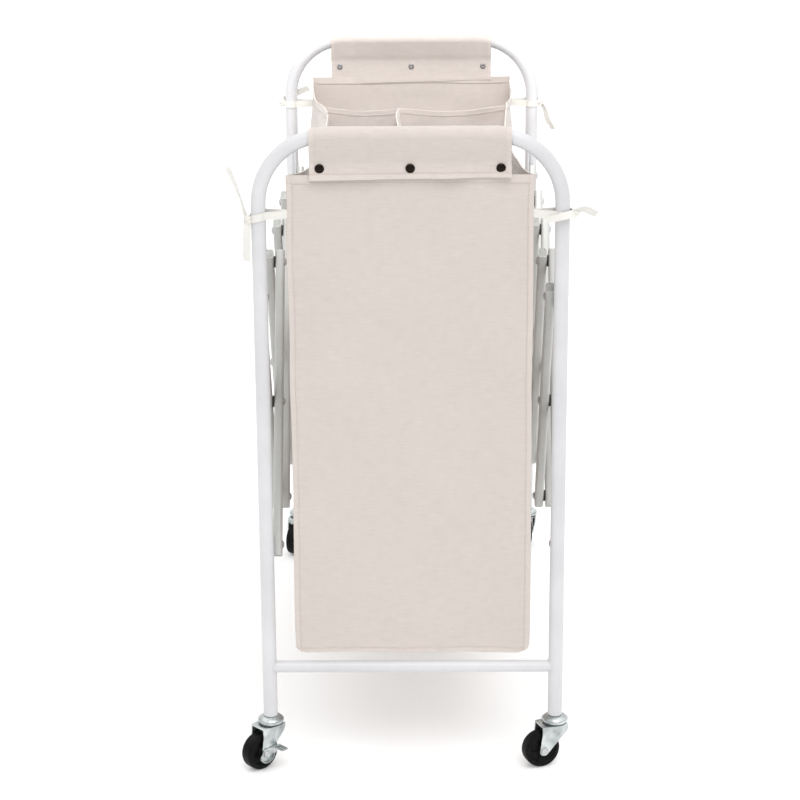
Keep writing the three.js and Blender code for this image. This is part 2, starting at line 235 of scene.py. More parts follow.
def lathe(profile, steps=28):
    """Turns (radius, height) pairs about Z. A radius of 0 at an end closes it in a point."""
    points = []
    rows = []
    for radius, height in profile:
        if radius == 0:
            rows.append([len(points)])
            points.append((0, 0, height))
        else:
            rows.append([len(points) + index for index in range(steps)])
            points += [(x, y, height) for x, y in circle(radius, steps)]
    faces = []
    for low, high in zip(rows, rows[1:]):
        for index in range(steps):
            after = (index + 1) % steps
            if len(low) == 1:
                faces.append([low[0], high[after], high[index]])
            elif len(high) == 1:
                faces.append([low[index], low[after], high[0]])
            else:
                faces.append([low[index], low[after], high[after], high[index]])
    return points, faces


def ring(profile, steps=28):
    """Turns a closed profile that stays off the axis."""
    points = [(x, y, height) for radius, height in profile for x, y in circle(radius, steps)]
    faces = []
    for row in range(len(profile)):
        below = row * steps
        above = ((row + 1) % len(profile)) * steps
        for index in range(steps):
            after = (index + 1) % steps
            faces.append([below + index, below + after, above + after, above + index])
    return points, faces


def plate(outline, thickness, holes=(), bevel=0.0003):
    """A flat plate with eased edges, in the XY plane, centred on z = 0."""
    curve = bpy.data.curves.new("outline", "CURVE")
    curve.dimensions = "2D"
    curve.fill_mode = "BOTH"
    curve.extrude = thickness / 2 - bevel
    curve.bevel_depth = bevel
    curve.bevel_resolution = 1
    curve.offset = -bevel
    for loop in [outline, *holes]:
        spline = curve.splines.new("POLY")
        spline.points.add(len(loop) - 1)
        for point, (x, y) in zip(spline.points, loop):
            point.co = (x, y, 0, 1)
        spline.use_cyclic_u = True
    holder = bpy.data.objects.new("outline", curve)
    bpy.context.scene.collection.objects.link(holder)
    bpy.context.view_layer.update()
    shown = holder.evaluated_get(bpy.context.evaluated_depsgraph_get())
    mesh = bpy.data.meshes.new_from_object(shown)
    work = bmesh.new()
    work.from_mesh(mesh)
    bmesh.ops.remove_doubles(work, verts=work.verts, dist=1e-6)
    points = [vertex.co.copy() for vertex in work.verts]
    work.verts.index_update()
    faces = [[vertex.index for vertex in face.verts] for face in work.faces]
    work.free()
    bpy.data.meshes.remove(mesh)
    bpy.data.objects.remove(holder)
    bpy.data.curves.remove(curve)
    return points, faces


def along_x(x, y, z):
    """Places a shape drawn about Z so that its axis lies along +X."""
    return Matrix.Translation((x, y, z)) @ Matrix.Rotation(math.pi / 2, 4, "Y")


def arc(centre, radius, start, end, steps):
    """Points of an arc in a plane, from start to end in degrees."""
    turns = [math.radians(start + (end - start) * step / steps) for step in range(steps + 1)]
    return [(centre[0] + radius * math.cos(turn), centre[1] + radius * math.sin(turn)) for turn in turns]


# ---- materials ----


class Nodes:
    """A short way to build a node material."""

    def __init__(self, name):
        self.material = bpy.data.materials.new(name)
        self.material.use_nodes = True
        self.tree = self.material.node_tree
        self.shader = self.tree.nodes["Principled BSDF"]

    def node(self, kind, inputs=(), **settings):
        made = self.tree.nodes.new("ShaderNode" + kind)
        for key, value in settings.items():
            setattr(made, key, value)
        for key, value in dict(inputs).items():
            self.feed(made.inputs[key], value)
        return made

    def feed(self, socket, value):
        if isinstance(value, bpy.types.NodeSocket):
            self.tree.links.new(value, socket)
        else:
            socket.default_value = value

    def math(self, operation, first, second=0.0):
        made = self.node("Math", operation=operation)
        self.feed(made.inputs[0], first)
        self.feed(made.inputs[1], second)
        return made.outputs[0]

    def noise(self, scale, detail=3.0, vector=None):
        if vector is None:
            vector = self.node("TexCoord").outputs["Object"]
        inputs = {"Scale": scale, "Detail": detail, "Vector": vector}
        return self.node("TexNoise", inputs).outputs["Fac"]

    def ramp(self, value, low, high, first, second):
        """Colour between two, as value goes from low to high."""
        made = self.node("ValToRGB", {"Fac": value})
        for element, at, colour in zip(made.color_ramp.elements, (low, high), (first, second)):
            element.position = at
            element.color = (*colour, 1)
        return made.outputs["Color"]

    def spread(self, value, low, high):
        """Maps 0..1 to low..high."""
        made = self.node("MapRange", {"Value": value, "To Min": low, "To Max": high})
        return made.outputs["Result"]

    def bump(self, height, distance, strength=1.0, normal=None):
        inputs = {"Height": height, "Distance": distance, "Strength": strength}
        if normal is not None:
            inputs["Normal"] = normal
        return self.node("Bump", inputs).outputs["Normal"]

    def finish(self, **inputs):
        for key, value in inputs.items():
            self.feed(self.shader.inputs[key.replace("_", " ")], value)
        return self.material


def linear(red, green, blue):
    """Linear colour from display values of 0 to 255."""
    return tuple(
        (value / 255 / 12.92) if value <= 10 else ((value / 255 + 0.055) / 1.055) ** 2.4
        for value in (red, green, blue)
    )


def paint_material(name, dark, light):
    n = Nodes(name)
    patches = n.noise(14, 4)
    colour = n.ramp(patches, 0.35, 0.7, dark, light)
    peel = n.noise(900, 2)
    normal = n.bump(peel, 0.00012, 0.35)
    rough = n.spread(n.noise(60, 3), 0.28, 0.42)
    return n.finish(
        Base_Color=colour, Roughness=rough, Normal=normal, Coat_Weight=0.15, Coat_Roughness=0.2,
    )


def zinc_material():
    n = Nodes("zinc_plate")
    grain = n.noise(420, 5)
    # coarse light and dark blotches: partly the plating's own uneven tone, partly painted reflection
    colour = n.ramp(n.noise(55, 5), 0.3, 0.75, linear(146, 152, 153), linear(222, 228, 227))
    rough = n.spread(grain, 0.12, 0.34)
    normal = n.bump(grain, 0.00008, 0.5, n.bump(n.noise(120, 2), 0.0004, 0.5))
    return n.finish(Base_Color=colour, Metallic=0.95, Roughness=rough, Normal=normal)


def wheel_material():
    n = Nodes("black_wheel")
    scuffs = n.noise(160, 6)
    colour = n.ramp(scuffs, 0.45, 0.8, linear(5, 5, 6), linear(18, 18, 18))
    rough = n.spread(n.noise(90, 4), 0.34, 0.6)
    normal = n.bump(n.noise(1500, 3), 0.0001, 0.5)
    return n.finish(Base_Color=colour, Roughness=rough, Normal=normal, Specular_IOR_Level=0.12)


def plastic_material(name, dark, light):
    n = Nodes(name)
    colour = n.ramp(n.noise(120, 3), 0.3, 0.7, dark, light)
    normal = n.bump(n.noise(1800, 2), 0.00005, 0.4)
    return n.finish(Base_Color=colour, Roughness=n.spread(n.noise(200, 2), 0.4, 0.55), Normal=normal)


def metal_material(name, dark, light, low_rough, high_rough):
    n = Nodes(name)
    wear = n.noise(700, 5)
    colour = n.ramp(wear, 0.35, 0.75, dark, light)
    normal = n.bump(wear, 0.00006, 0.5)
    rough = n.spread(wear, low_rough, high_rough)
    return n.finish(Base_Color=colour, Metallic=0.9, Roughness=rough, Normal=normal)


def cloth_material(name, dark, light, pitch, twill=False):
    """Woven cloth. The point attribute "cloth" holds the flat cloth's own coordinates, in metres."""
    n = Nodes(name)
    flat = n.node("Attribute", attribute_name="cloth").outputs["Vector"]
    parts = n.node("SeparateXYZ", {"Vector": flat})
    across, down = parts.outputs[0], parts.outputs[1]
    slub = n.noise(90, 4, flat)
    wander = n.math("MULTIPLY", slub, pitch * 0.6)
    turn = 2 * math.pi / pitch
    if twill:
        warp = n.math("SINE", n.math("MULTIPLY", n.math("ADD", across, down), turn * 0.7))
        weave = n.math("MULTIPLY", warp, 0.5)
    else:
        warp = n.math("SINE", n.math("MULTIPLY", n.math("ADD", across, wander), turn))
        weft = n.math("SINE", n.math("MULTIPLY", n.math("ADD", down, wander), turn))
        weave = n.math("MULTIPLY", warp, weft)
    threads = n.math("MULTIPLY", n.noise(2600, 2, flat), 0.5)
    height = n.math("ADD", n.math("MULTIPLY", weave, 0.5), threads)
    stretched = n.node("VectorMath", {0: flat, 1: (45, 900, 45)}, operation="MULTIPLY").outputs[0]
    streaks = n.noise(1, 3, stretched)
    cloudy = n.math("ADD", n.math("MULTIPLY", n.noise(7, 3, flat), 0.16), n.math("MULTIPLY", slub, 0.22))
    tone = n.math("ADD", cloudy, n.math("MULTIPLY", streaks, 0.5))
    tone = n.math("ADD", tone, n.math("MULTIPLY", height, 0.12))
    colour = n.ramp(tone, 0.32, 0.62, dark, light)
    soft_folds = n.bump(n.noise(34, 3, flat), 0.0010, 0.5)
    normal = n.bump(height, pitch * 0.16, 0.6, soft_folds)
    return n.finish(
        Base_Color=colour, Roughness=n.spread(threads, 0.86, 0.98), Normal=normal,
        Sheen_Weight=0.25, Sheen_Roughness=0.5, Specular_IOR_Level=0.2,
    )


def floor_material():
    n = Nodes("pale_floor")
    colour = n.ramp(n.noise(2.5, 3), 0.3, 0.7, (0.80, 0.80, 0.80), (0.82, 0.82, 0.82))
    return n.finish(Base_Color=colour, Roughness=0.9, Specular_IOR_Level=0.1, Emission_Strength=0.18)


paint = paint_material("white_powder_coat", linear(199, 199, 201), linear(208, 208, 210))
# The bars' coat is greyer than the legs': partly its own grey-white tone, partly painted shade for the
# liner's shade over the bars.
bar_coat_and_painted_shade = paint_material("grey_white_coat_and_painted_shade", linear(176, 177, 174), linear(188, 189, 186))
zinc = zinc_material()
wheel_black = wheel_material()
spacer_black = plastic_material("black_spacer", linear(14, 14, 15), linear(26, 26, 27))
plug_grey = plastic_material("bar_plug", linear(150, 152, 148), linear(170, 172, 168))
bronze = metal_material("antique_bronze", linear(16, 12, 10), linear(50, 40, 34), 0.22, 0.42)
socket_silver = metal_material("nickel_socket", linear(176, 176, 178), linear(232, 232, 234), 0.12, 0.3)
rivet_steel = metal_material("rivet_steel", linear(176, 177, 180), linear(226, 227, 228), 0.25, 0.4)
canvas = cloth_material("canvas", linear(194, 185, 179), linear(205, 196, 190), 0.0007)
hem_canvas = cloth_material("canvas_hem", linear(197, 188, 182), linear(208, 199, 193), 0.0007)
tape = cloth_material("twill_tape", linear(212, 210, 204), linear(228, 226, 221), 0.0009, twill=True)
thread = plastic_material("sewing_thread", linear(186, 174, 166), linear(204, 193, 185))

# ---- arched frames ----


def arch_line(y):
    inner = LEG_X - BEND_RADIUS
    bend_z = ARCH_Z - BEND_RADIUS
    left = arc((-inner, bend_z), BEND_RADIUS, 180, 90, 22)
    right = arc((inner, bend_z), BEND_RADIUS, 90, 0, 22)
    ease = 0.0006
    foot = [(-LEG_X, LEG_BOTTOM), (-LEG_X, LEG_BOTTOM + ease)]
    end = [(LEG_X, LEG_BOTTOM + ease), (LEG_X, LEG_BOTTOM)]
    return [Vector((x, y, z)) for x, z in foot + left + right + end]


PIVOT_OUT = 0.026             # from a leg's middle to its linkage pivots
PLATE_MARGIN = 0.0138         # metal above and below a pivot
PLATE_CORNER = 0.005
SLOT_RADIUS = 0.0034


def pivot_plate(low_z, high_z, y, towards, holes=()):
    """A plate from the leg past its pivots, with round corners at its free edge, drawn in (y, z)."""
    low_z, high_z = low_z - PLATE_MARGIN, high_z + PLATE_MARGIN
    start = y + towards * 0.0068
    corner = y + towards * (PIVOT_OUT + BAR_WIDTH / 2 - PLATE_CORNER)
    side, under = (0, -90) if towards > 0 else (180, 270)
    outline = [(start, low_z), (start, high_z)]
    outline += arc((corner, high_z - PLATE_CORNER), PLATE_CORNER, 90, side, 6)
    outline += arc((corner, low_z + PLATE_CORNER), PLATE_CORNER, side, under, 6)
    return plate(outline, PLATE_THICKNESS, holes)


def leg_plates(y, towards):
    """The low tab, and the high plate with its slot for the linkage's sliding pin."""
    low_z = joint_place("fold").z
    high_z = 2 * joint_place("left_mid_pivot_1").z - low_z
    slot_top = high_z + SLOT_LENGTH
    pivot_y = y + towards * PIVOT_OUT
    slot = arc((pivot_y, slot_top), SLOT_RADIUS, 0, 180, 10)
    slot += arc((pivot_y, high_z), SLOT_RADIUS, 180, 360, 10)
    return pivot_plate(low_z, low_z, y, towards), pivot_plate(high_z, slot_top, y, towards, [slot])


def coped_x(across):
    """How far out the leg's inner surface is, at a distance across from its middle."""
    return LEG_X - math.sqrt(TUBE_RADIUS ** 2 - across ** 2)


def rail_shape(y):
    """The low rail, its ends coped to fit the legs, and the weld beads round them."""
    inner_x = LEG_X - TUBE_RADIUS - 0.004

    def loop(sign, coped):
        return [
            Vector((sign * (coped_x(a) if coped else inner_x), y + a, RAIL_Z + b))
            for a, b in circle(RAIL_RADIUS, 32)
        ]

    rail = Shape().add(loft([loop(-1, True), loop(-1, False), loop(1, False), loop(1, True)]))
    for sign in (-1, 1):
        bead = []
        for index, (across, up) in enumerate(circle(1, 36)):
            a, b = RAIL_RADIUS * across, RAIL_RADIUS * up
            centre = Vector((sign * coped_x(a), y + a, RAIL_Z + b))
            out = Vector((0, across, up))
            size = 0.0012 * (1 + 0.3 * noise.noise(Vector((index * 0.7, sign, y * 9))))
            bead.append([
                centre + out * (size * c) + Vector((-sign * size * s, 0, 0)) for c, s in circle(1, 8)
            ])
        rail.add(loft([*bead, bead[0]], closed_ends=False))
    return rail


def make_frame(end, y, towards):
    line = arch_line(y)
    scales = [0.94] + [1] * (len(line) - 2) + [0.94]
    arch = Shape().add(sweep(line, circle(TUBE_RADIUS, 32), Vector((0, 1, 0)), scales))
    stand = Matrix(((0, 0, 1, 0), (1, 0, 0, 0), (0, 1, 0, 0), (0, 0, 0, 1)))
    plates = leg_plates(y, towards)
    for _, side in SIDES:
        for part in plates:
            arch.add(part, Matrix.Translation((side * abs(joint_place("fold").x), 0, 0)) @ stand)
    for part, shape in (("arch", arch), ("rail", rail_shape(y))):
        add_piece(f"{end}_{part}_tube", shape, f"{end}_frame", paint, [f"{end}_{part}"], 40)


# ---- accordion linkage ----

BAR_GAP = 0.0025              # between the rising and the falling bars
SPACER_THICKNESS = 0.0021


def bar_part(low, high):
    """A flat tube with open ends, and the plugs in them."""
    along = (high - low).normalized()
    across = Vector((1, 0, 0))
    wide = along.cross(across).normalized()
    middle_point = (low + high) / 2
    half = (high - low).length / 2 + BAR_OVERHANG
    recess = 0.003

    def section(inset, corner):
        return rounded_loop(BAR_THICKNESS / 2 - inset, BAR_WIDTH / 2 - inset, corner)

    def at(height, loop):
        return [middle_point + along * height + across * a + wide * b for a, b in loop]

    outer, eased, inner = section(0, 0.0034), section(0.0003, 0.0031), section(BAR_WALL, 0.0024)
    fit, crown = section(BAR_WALL + 0.00005, 0.0023), section(BAR_WALL + 0.0012, 0.0016)
    tube = loft([
        at(-half + recess, inner), at(-half, inner), at(-half, eased), at(-half + 0.0004, outer),
        at(half - 0.0004, outer), at(half, eased), at(half, inner), at(half - recess, inner),
    ])
    plugs = Shape()
    for sign in (-1, 1):
        ends = ((half - recess + 0.0001, fit), (half - 0.0004, fit), (half + 0.0001, crown))
        plugs.add(loft([at(sign * height, loop) for height, loop in ends]))
    return tube, plugs


def rivet_head():
    dome = [
        (0, HEAD_HEIGHT), (HEAD_RADIUS * 0.35, HEAD_HEIGHT * 0.95), (HEAD_RADIUS * 0.65, HEAD_HEIGHT * 0.78),
        (HEAD_RADIUS * 0.88, HEAD_HEIGHT * 0.46), (HEAD_RADIUS, 0.0005), (HEAD_RADIUS * 0.98, 0), (0, 0),
    ]
    return lathe(dome[::-1], 20)


def spacer_disc():
    ease = 0.0003
    half = SPACER_THICKNESS / 2
    profile = [
        (0, -half), (SPACER_RADIUS - ease, -half), (SPACER_RADIUS, -half + ease),
        (SPACER_RADIUS, half - ease), (SPACER_RADIUS - ease, half), (0, half),
    ]
    return lathe(profile, 24)


def bar_rows(side):
    """X of the rising and the falling bars of a side."""
    interface = side * abs(joint_place("fold").x)
    offset = (BAR_THICKNESS + BAR_GAP) / 2
    return interface + offset, interface - offset


def make_bar_rivets(name, body, pivots, bar_x, direction, reaches):
    """Rivets through the bar at bar_x: a head on it, and one beyond what each rivet carries."""
    heads = Shape()
    face = BAR_THICKNESS / 2
    for pivot, reach in zip(pivots, reaches):
        outward = along_x(bar_x - direction * face, pivot.y, pivot.z)
        beyond = along_x(bar_x + direction * reach, pivot.y, pivot.z)
        flip = Matrix.Rotation(math.pi, 4, "X")
        heads.add(rivet_head(), outward @ flip if direction > 0 else outward)
        heads.add(rivet_head(), beyond if direction > 0 else beyond @ flip)
        low = min(bar_x, bar_x + direction * (reach + 0.0005))
        high = max(bar_x, bar_x + direction * (reach + 0.0005))
        shank = [(0, 0), (0.003, 0), (0.003, high - low), (0, high - low)]
        heads.add(lathe(shank, 16), along_x(low, pivot.y, pivot.z))
    add_piece(name, heads, body, rivet_steel)


def add_bar(body, node, x, low, high):
    """A bar's tube and the plugs in its ends."""
    tube, plugs = bar_part(Vector((x, *low)), Vector((x, *high)))
    add_piece(f"{body}_tube", Shape().add(tube), body, bar_coat_and_painted_shade, [node])
    add_piece(f"{body}_plugs", plugs, body, plug_grey)


def make_linkage():
    plate_reach = (BAR_GAP + PLATE_THICKNESS) / 2 + BAR_THICKNESS / 2 + CLEARANCE
    bar_reach = BAR_GAP + BAR_THICKNESS * 1.5 + CLEARANCE
    half = joint_place("left_mid_pivot_1") - joint_place("fold")
    for side_name, side in SIDES:
        rising_x, falling_x = bar_rows(side)
        for cell in range(1, CELLS + 1):
            mid = joint_place(f"left_mid_pivot_{cell}")
            low, high = mid - half, mid + half
            body = f"{side_name}_rising_{cell}"
            add_bar(body, f"{side_name}_rising_bar_{cell}", rising_x, low.yz, high.yz)
            low_reach = plate_reach if cell == 1 else bar_reach
            high_reach = plate_reach if cell == CELLS else bar_reach
            pivots, reaches = [low, mid, high], [low_reach, bar_reach, high_reach]
            make_bar_rivets(f"{body}_rivets", body, pivots, rising_x, -1, reaches)
            spacers = Shape()
            for pivot, reach in zip(pivots, reaches):
                if reach == bar_reach:
                    x = rising_x - BAR_THICKNESS / 2 - 0.0011
                    spacers.add(spacer_disc(), along_x(x, pivot.y, pivot.z))
            add_piece(f"{body}_spacers", spacers, body, spacer_black)

            body = f"{side_name}_falling_{cell}"
            foot, top = (high.y, low.z), (low.y, high.z)
            add_bar(body, f"{side_name}_falling_bar_{cell}", falling_x, foot, top)
            for pin, at_cell, place in (("slot_pin", 1, top), ("tab_pin", CELLS, foot)):
                if cell == at_cell:
                    pivot = Vector((falling_x, *place))
                    make_bar_rivets(f"{body}_{pin}", body, [pivot], falling_x, 1, [plate_reach])


# ---- casters ----

WHEEL_RADIUS = 0.025
TRAIL = 0.0205
FORK_HALF = 0.0135
FORK_SHEET = 0.002
FORK_TOP = 0.060
STAND_XZ = Matrix.Rotation(math.pi / 2, 4, "X")


def stem_part():
    cap = LEG_BOTTOM - 0.0003
    profile = [
        (0, 0.0543), (0.0055, 0.0543), (0.0069, 0.0553), (0.0069, 0.0572), (0.004, 0.0576),
        (0.004, FORK_TOP + 0.0003), (0.0115, FORK_TOP + 0.0004), (0.0125, FORK_TOP + 0.0022),
        (0.0150, FORK_TOP + 0.0014), (0.0170, FORK_TOP + 0.0020), (0.0175, FORK_TOP + 0.0032),
        (0.0175, FORK_TOP + 0.0058), (0.0166, FORK_TOP + 0.0070), (0.0148, cap - 0.0022),
        (0.0128, cap - 0.0008), (0.0108, cap), (0.005, cap), (0.005, 0.107), (0.0044, 0.108), (0, 0.108),
    ]
    return lathe(profile, 40)


def fork_shape():
    shape = Shape()
    corner = 0.0025
    top = arc((0, 0), 0.0165, 90, 270, 20)
    top += arc((0.0232 - corner, -FORK_HALF + corner), corner, -90, 0, 5)
    top += arc((0.0232 - corner, FORK_HALF - corner), corner, 0, 90, 5)
    top_z = FORK_TOP - FORK_SHEET / 2
    shape.add(plate(top, FORK_SHEET, [circle(0.0046, 20)]), Matrix.Translation((0, 0, top_z)))
    # a pressed rib round the stem
    rib = [(0.0118, -0.0006), (0.0124, 0.0002), (0.0146, 0.0002), (0.0152, -0.0006)]
    shape.add(ring([(radius, FORK_TOP + rise) for radius, rise in rib], 36))
    cheek = [(-0.0142, FORK_TOP - 0.0004), (-0.0134, 0.0530), (-0.0115, 0.0495)]
    cheek += arc((TRAIL, WHEEL_RADIUS), 0.0066, 218, 352, 14)
    cheek += [(0.0250, 0.0400), (0.0236, 0.0480), (0.0230, FORK_TOP - 0.0004)]
    hole = [(TRAIL + x, WHEEL_RADIUS + y) for x, y in circle(0.0038, 20)]
    for side in (-1, 1):
        y = side * (FORK_HALF - FORK_SHEET / 2)
        shape.add(plate(cheek, FORK_SHEET, [hole]), Matrix.Translation((0, y, 0)) @ STAND_XZ)
        # rolled shoulder between the top and the cheek
        line = [Vector((x, side * (FORK_HALF - 0.0010), FORK_TOP - 0.0010)) for x in (-0.0140, 0.0229)]
        shape.add(sweep(line, circle(0.00104, 12), Vector((0, 1, 0))))
    return shape


def wheel_shape():
    half = 0.0095
    face = [
        (0.0039, half + 0.0006), (0.0078, half + 0.0006), (0.0084, half), (0.0092, half - 0.0016),
        (0.0168, half - 0.0016), (0.0182, half), (0.0214, half), (0.0236, half - 0.0009),
        (0.0247, half - 0.0028), (WHEEL_RADIUS, 0.004),
    ]
    profile = [(radius, -height) for radius, height in face] + face[::-1]
    web_outline = [(0.0086, -0.0006), (0.0174, -0.0005), (0.0174, 0.0005), (0.0086, 0.0006)]
    shape = Shape()
    stand = Matrix.Translation((TRAIL, 0, WHEEL_RADIUS)) @ STAND_XZ
    shape.add(ring(profile, 56), stand)
    ribs = 6
    for index in range(ribs):
        turn = Matrix.Rotation(2 * math.pi * index / ribs, 4, "Z")
        for side in (-1, 1):
            web = plate(web_outline, 0.0016, bevel=0.0002)
            shape.add(web, stand @ turn @ Matrix.Translation((0, 0, side * (half - 0.0012))))
    return shape


def axle_shape(brake):
    lever_room = 0.0019 if brake else 0
    low = -FORK_HALF - CLEARANCE
    high = FORK_HALF + CLEARANCE + lever_room
    profile = [
        (0, low - 0.0020), (0.0030, low - 0.0019), (0.0044, low - 0.0014), (0.0050, low - 0.0004),
        (0.0050, low), (0.0034, low), (0.0034, high), (0.0050, high), (0.0050, high + 0.0004),
        (0.0046, high + 0.0013), (0.0036, high + 0.0014), (0.0032, high + 0.0008),
        (0.0018, high + 0.0008), (0, high + 0.0019),
    ]
    stand = Matrix.Translation((TRAIL, 0, WHEEL_RADIUS)) @ Matrix.Rotation(-math.pi / 2, 4, "X")
    return Shape().add(lathe(profile, 24), stand)


def lever_shape():
    """Side plate with a curved lower lip and a foot tab bent outwards."""
    shape = Shape()
    thick = 0.0016
    y = FORK_HALF + CLEARANCE + thick / 2
    centre = (TRAIL, WHEEL_RADIUS)
    outline = arc(centre, 0.0128, 200, 340, 16) + arc(centre, 0.0072, 20, 110, 8)
    outline += [(0.006, 0.0330), (-0.0035, 0.0316), (-0.0058, 0.0290), (-0.0056, 0.0262), (0.002, 0.0245)]
    hole = [(TRAIL + a, WHEEL_RADIUS + b) for a, b in circle(0.0038, 16)]
    shape.add(plate(outline, thick, [hole]), Matrix.Translation((0, y, 0)) @ STAND_XZ)
    lip = [Vector((x, y + 0.0012, z)) for x, z in arc(centre, 0.0121, 196, 344, 22)]
    shape.add(sweep(lip, rounded_loop(0.0018, 0.0006, 0.0005, 3), Vector((0, 1, 0))))
    tab = rounded_loop(0.0054, 0.0078, 0.0022, 5)
    tilt = Matrix.Translation((-0.0003, 0.0214, 0.0288))
    shape.add(plate(tab, thick, bevel=0.0004), tilt)
    for step in range(3):
        rib = [Vector((-0.0042 + 0.0036 * step, out, 0.0296)) for out in (0.0170, 0.0262)]
        shape.add(sweep(rib, circle(0.0006, 8), Vector((1, 0, 0))))
    return shape


def make_casters():
    for end, _, _ in ENDS:
        for side_name, _ in SIDES:
            name = f"{end}_{side_name}"
            stem = joint_place(f"{name}_swivel")
            trail = joint_place(f"{name}_roll") - stem
            angle = math.atan2(trail.y, trail.x)
            place = Matrix.Translation((stem.x, stem.y, 0)) @ Matrix.Rotation(angle, 4, "Z")
            has_brake = f"{name}_brake" in joints
            stem_shape = Shape().add(stem_part(), place)
            add_piece(f"{name}_stem", stem_shape, f"{end}_frame", zinc, [f"{name}_caster_stem"], 50)
            parts = [
                ("fork_pressing", fork_shape(), "caster", "zinc", zinc, "fork"),
                ("axle_rivet", axle_shape(has_brake), "caster", "zinc", rivet_steel, "axle"),
                ("tyre", wheel_shape(), "wheel", "wheel_black", wheel_black, "wheel"),
            ]
            if has_brake:
                parts.append(("brake_pedal", lever_shape(), "brake", "zinc", zinc, "brake_lever"))
            for label, shape, body, slot, material, node in parts:
                placed = Shape().add((shape.points, shape.faces), place)
                add_piece(f"{name}_{label}", placed, f"{name}_{body}", material, [f"{name}_{node}"])


for end_name, end_y, inwards in ENDS:
    make_frame(end_name, end_y, inwards)
make_linkage()
make_casters()

# ---- liner: one bag of seven sewn panels, simulated together ----

GRID = 0.0135
DIVIDER_PULL = {-1: 0.017, 1: 0.009}   # how far in the cross divider holds each side's rim
LOOSE_BOW = {-1: 0.026, 1: 0.016}      # how much further in it hangs between the near corner and the divider
RIM_SAG = 0.004               # how far it comes down there
FAR_RIM_DROP = 0.008          # the far panel hangs this much lower than the near one
DIVIDER_SAG = 0.008
LONG_DIVIDER_LEAN = 0.008     # the long divider's hem leans this far to the left
LEAN_RUN = 0.045              # from the cross divider, over which it comes to that lean
SIM_FRAMES = 26
HEM_ROWS = 5                  # grid rows that the stiff hem keeps from folding tightly
HEM_PASSES = 14               # how often they are evened out
HEM_HOLD = 0.3                # how firmly the stiff hem keeps the rim at the height it is cut to
SIDE_BINDING = 0.007          # width of the near and far panels' bindings
LOW_BINDING = 0.006
BINDING_LAYERS = 2.1
FLAP_HALF_WIDTH = (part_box("near_flap")[1].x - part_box("near_flap")[0].x) / 2
MOST_OUT = 0.0075             # a panel may bulge this far out of its flat place


def spaced(low, high, *stops):
    """Grid lines from low to high that pass through the stops."""
    marks = [low, *sorted(stops), high]
    lines = [low]
    for first, last in zip(marks, marks[1:]):
        count = max(1, round((last - first) / GRID))
        lines += [first + (last - first) * (step + 1) / count for step in range(count)]
    return lines


def nearest(lines, place):
    """Which grid line is nearest to a place."""
    return min(range(len(lines)), key=lambda number: abs(lines[number] - place))


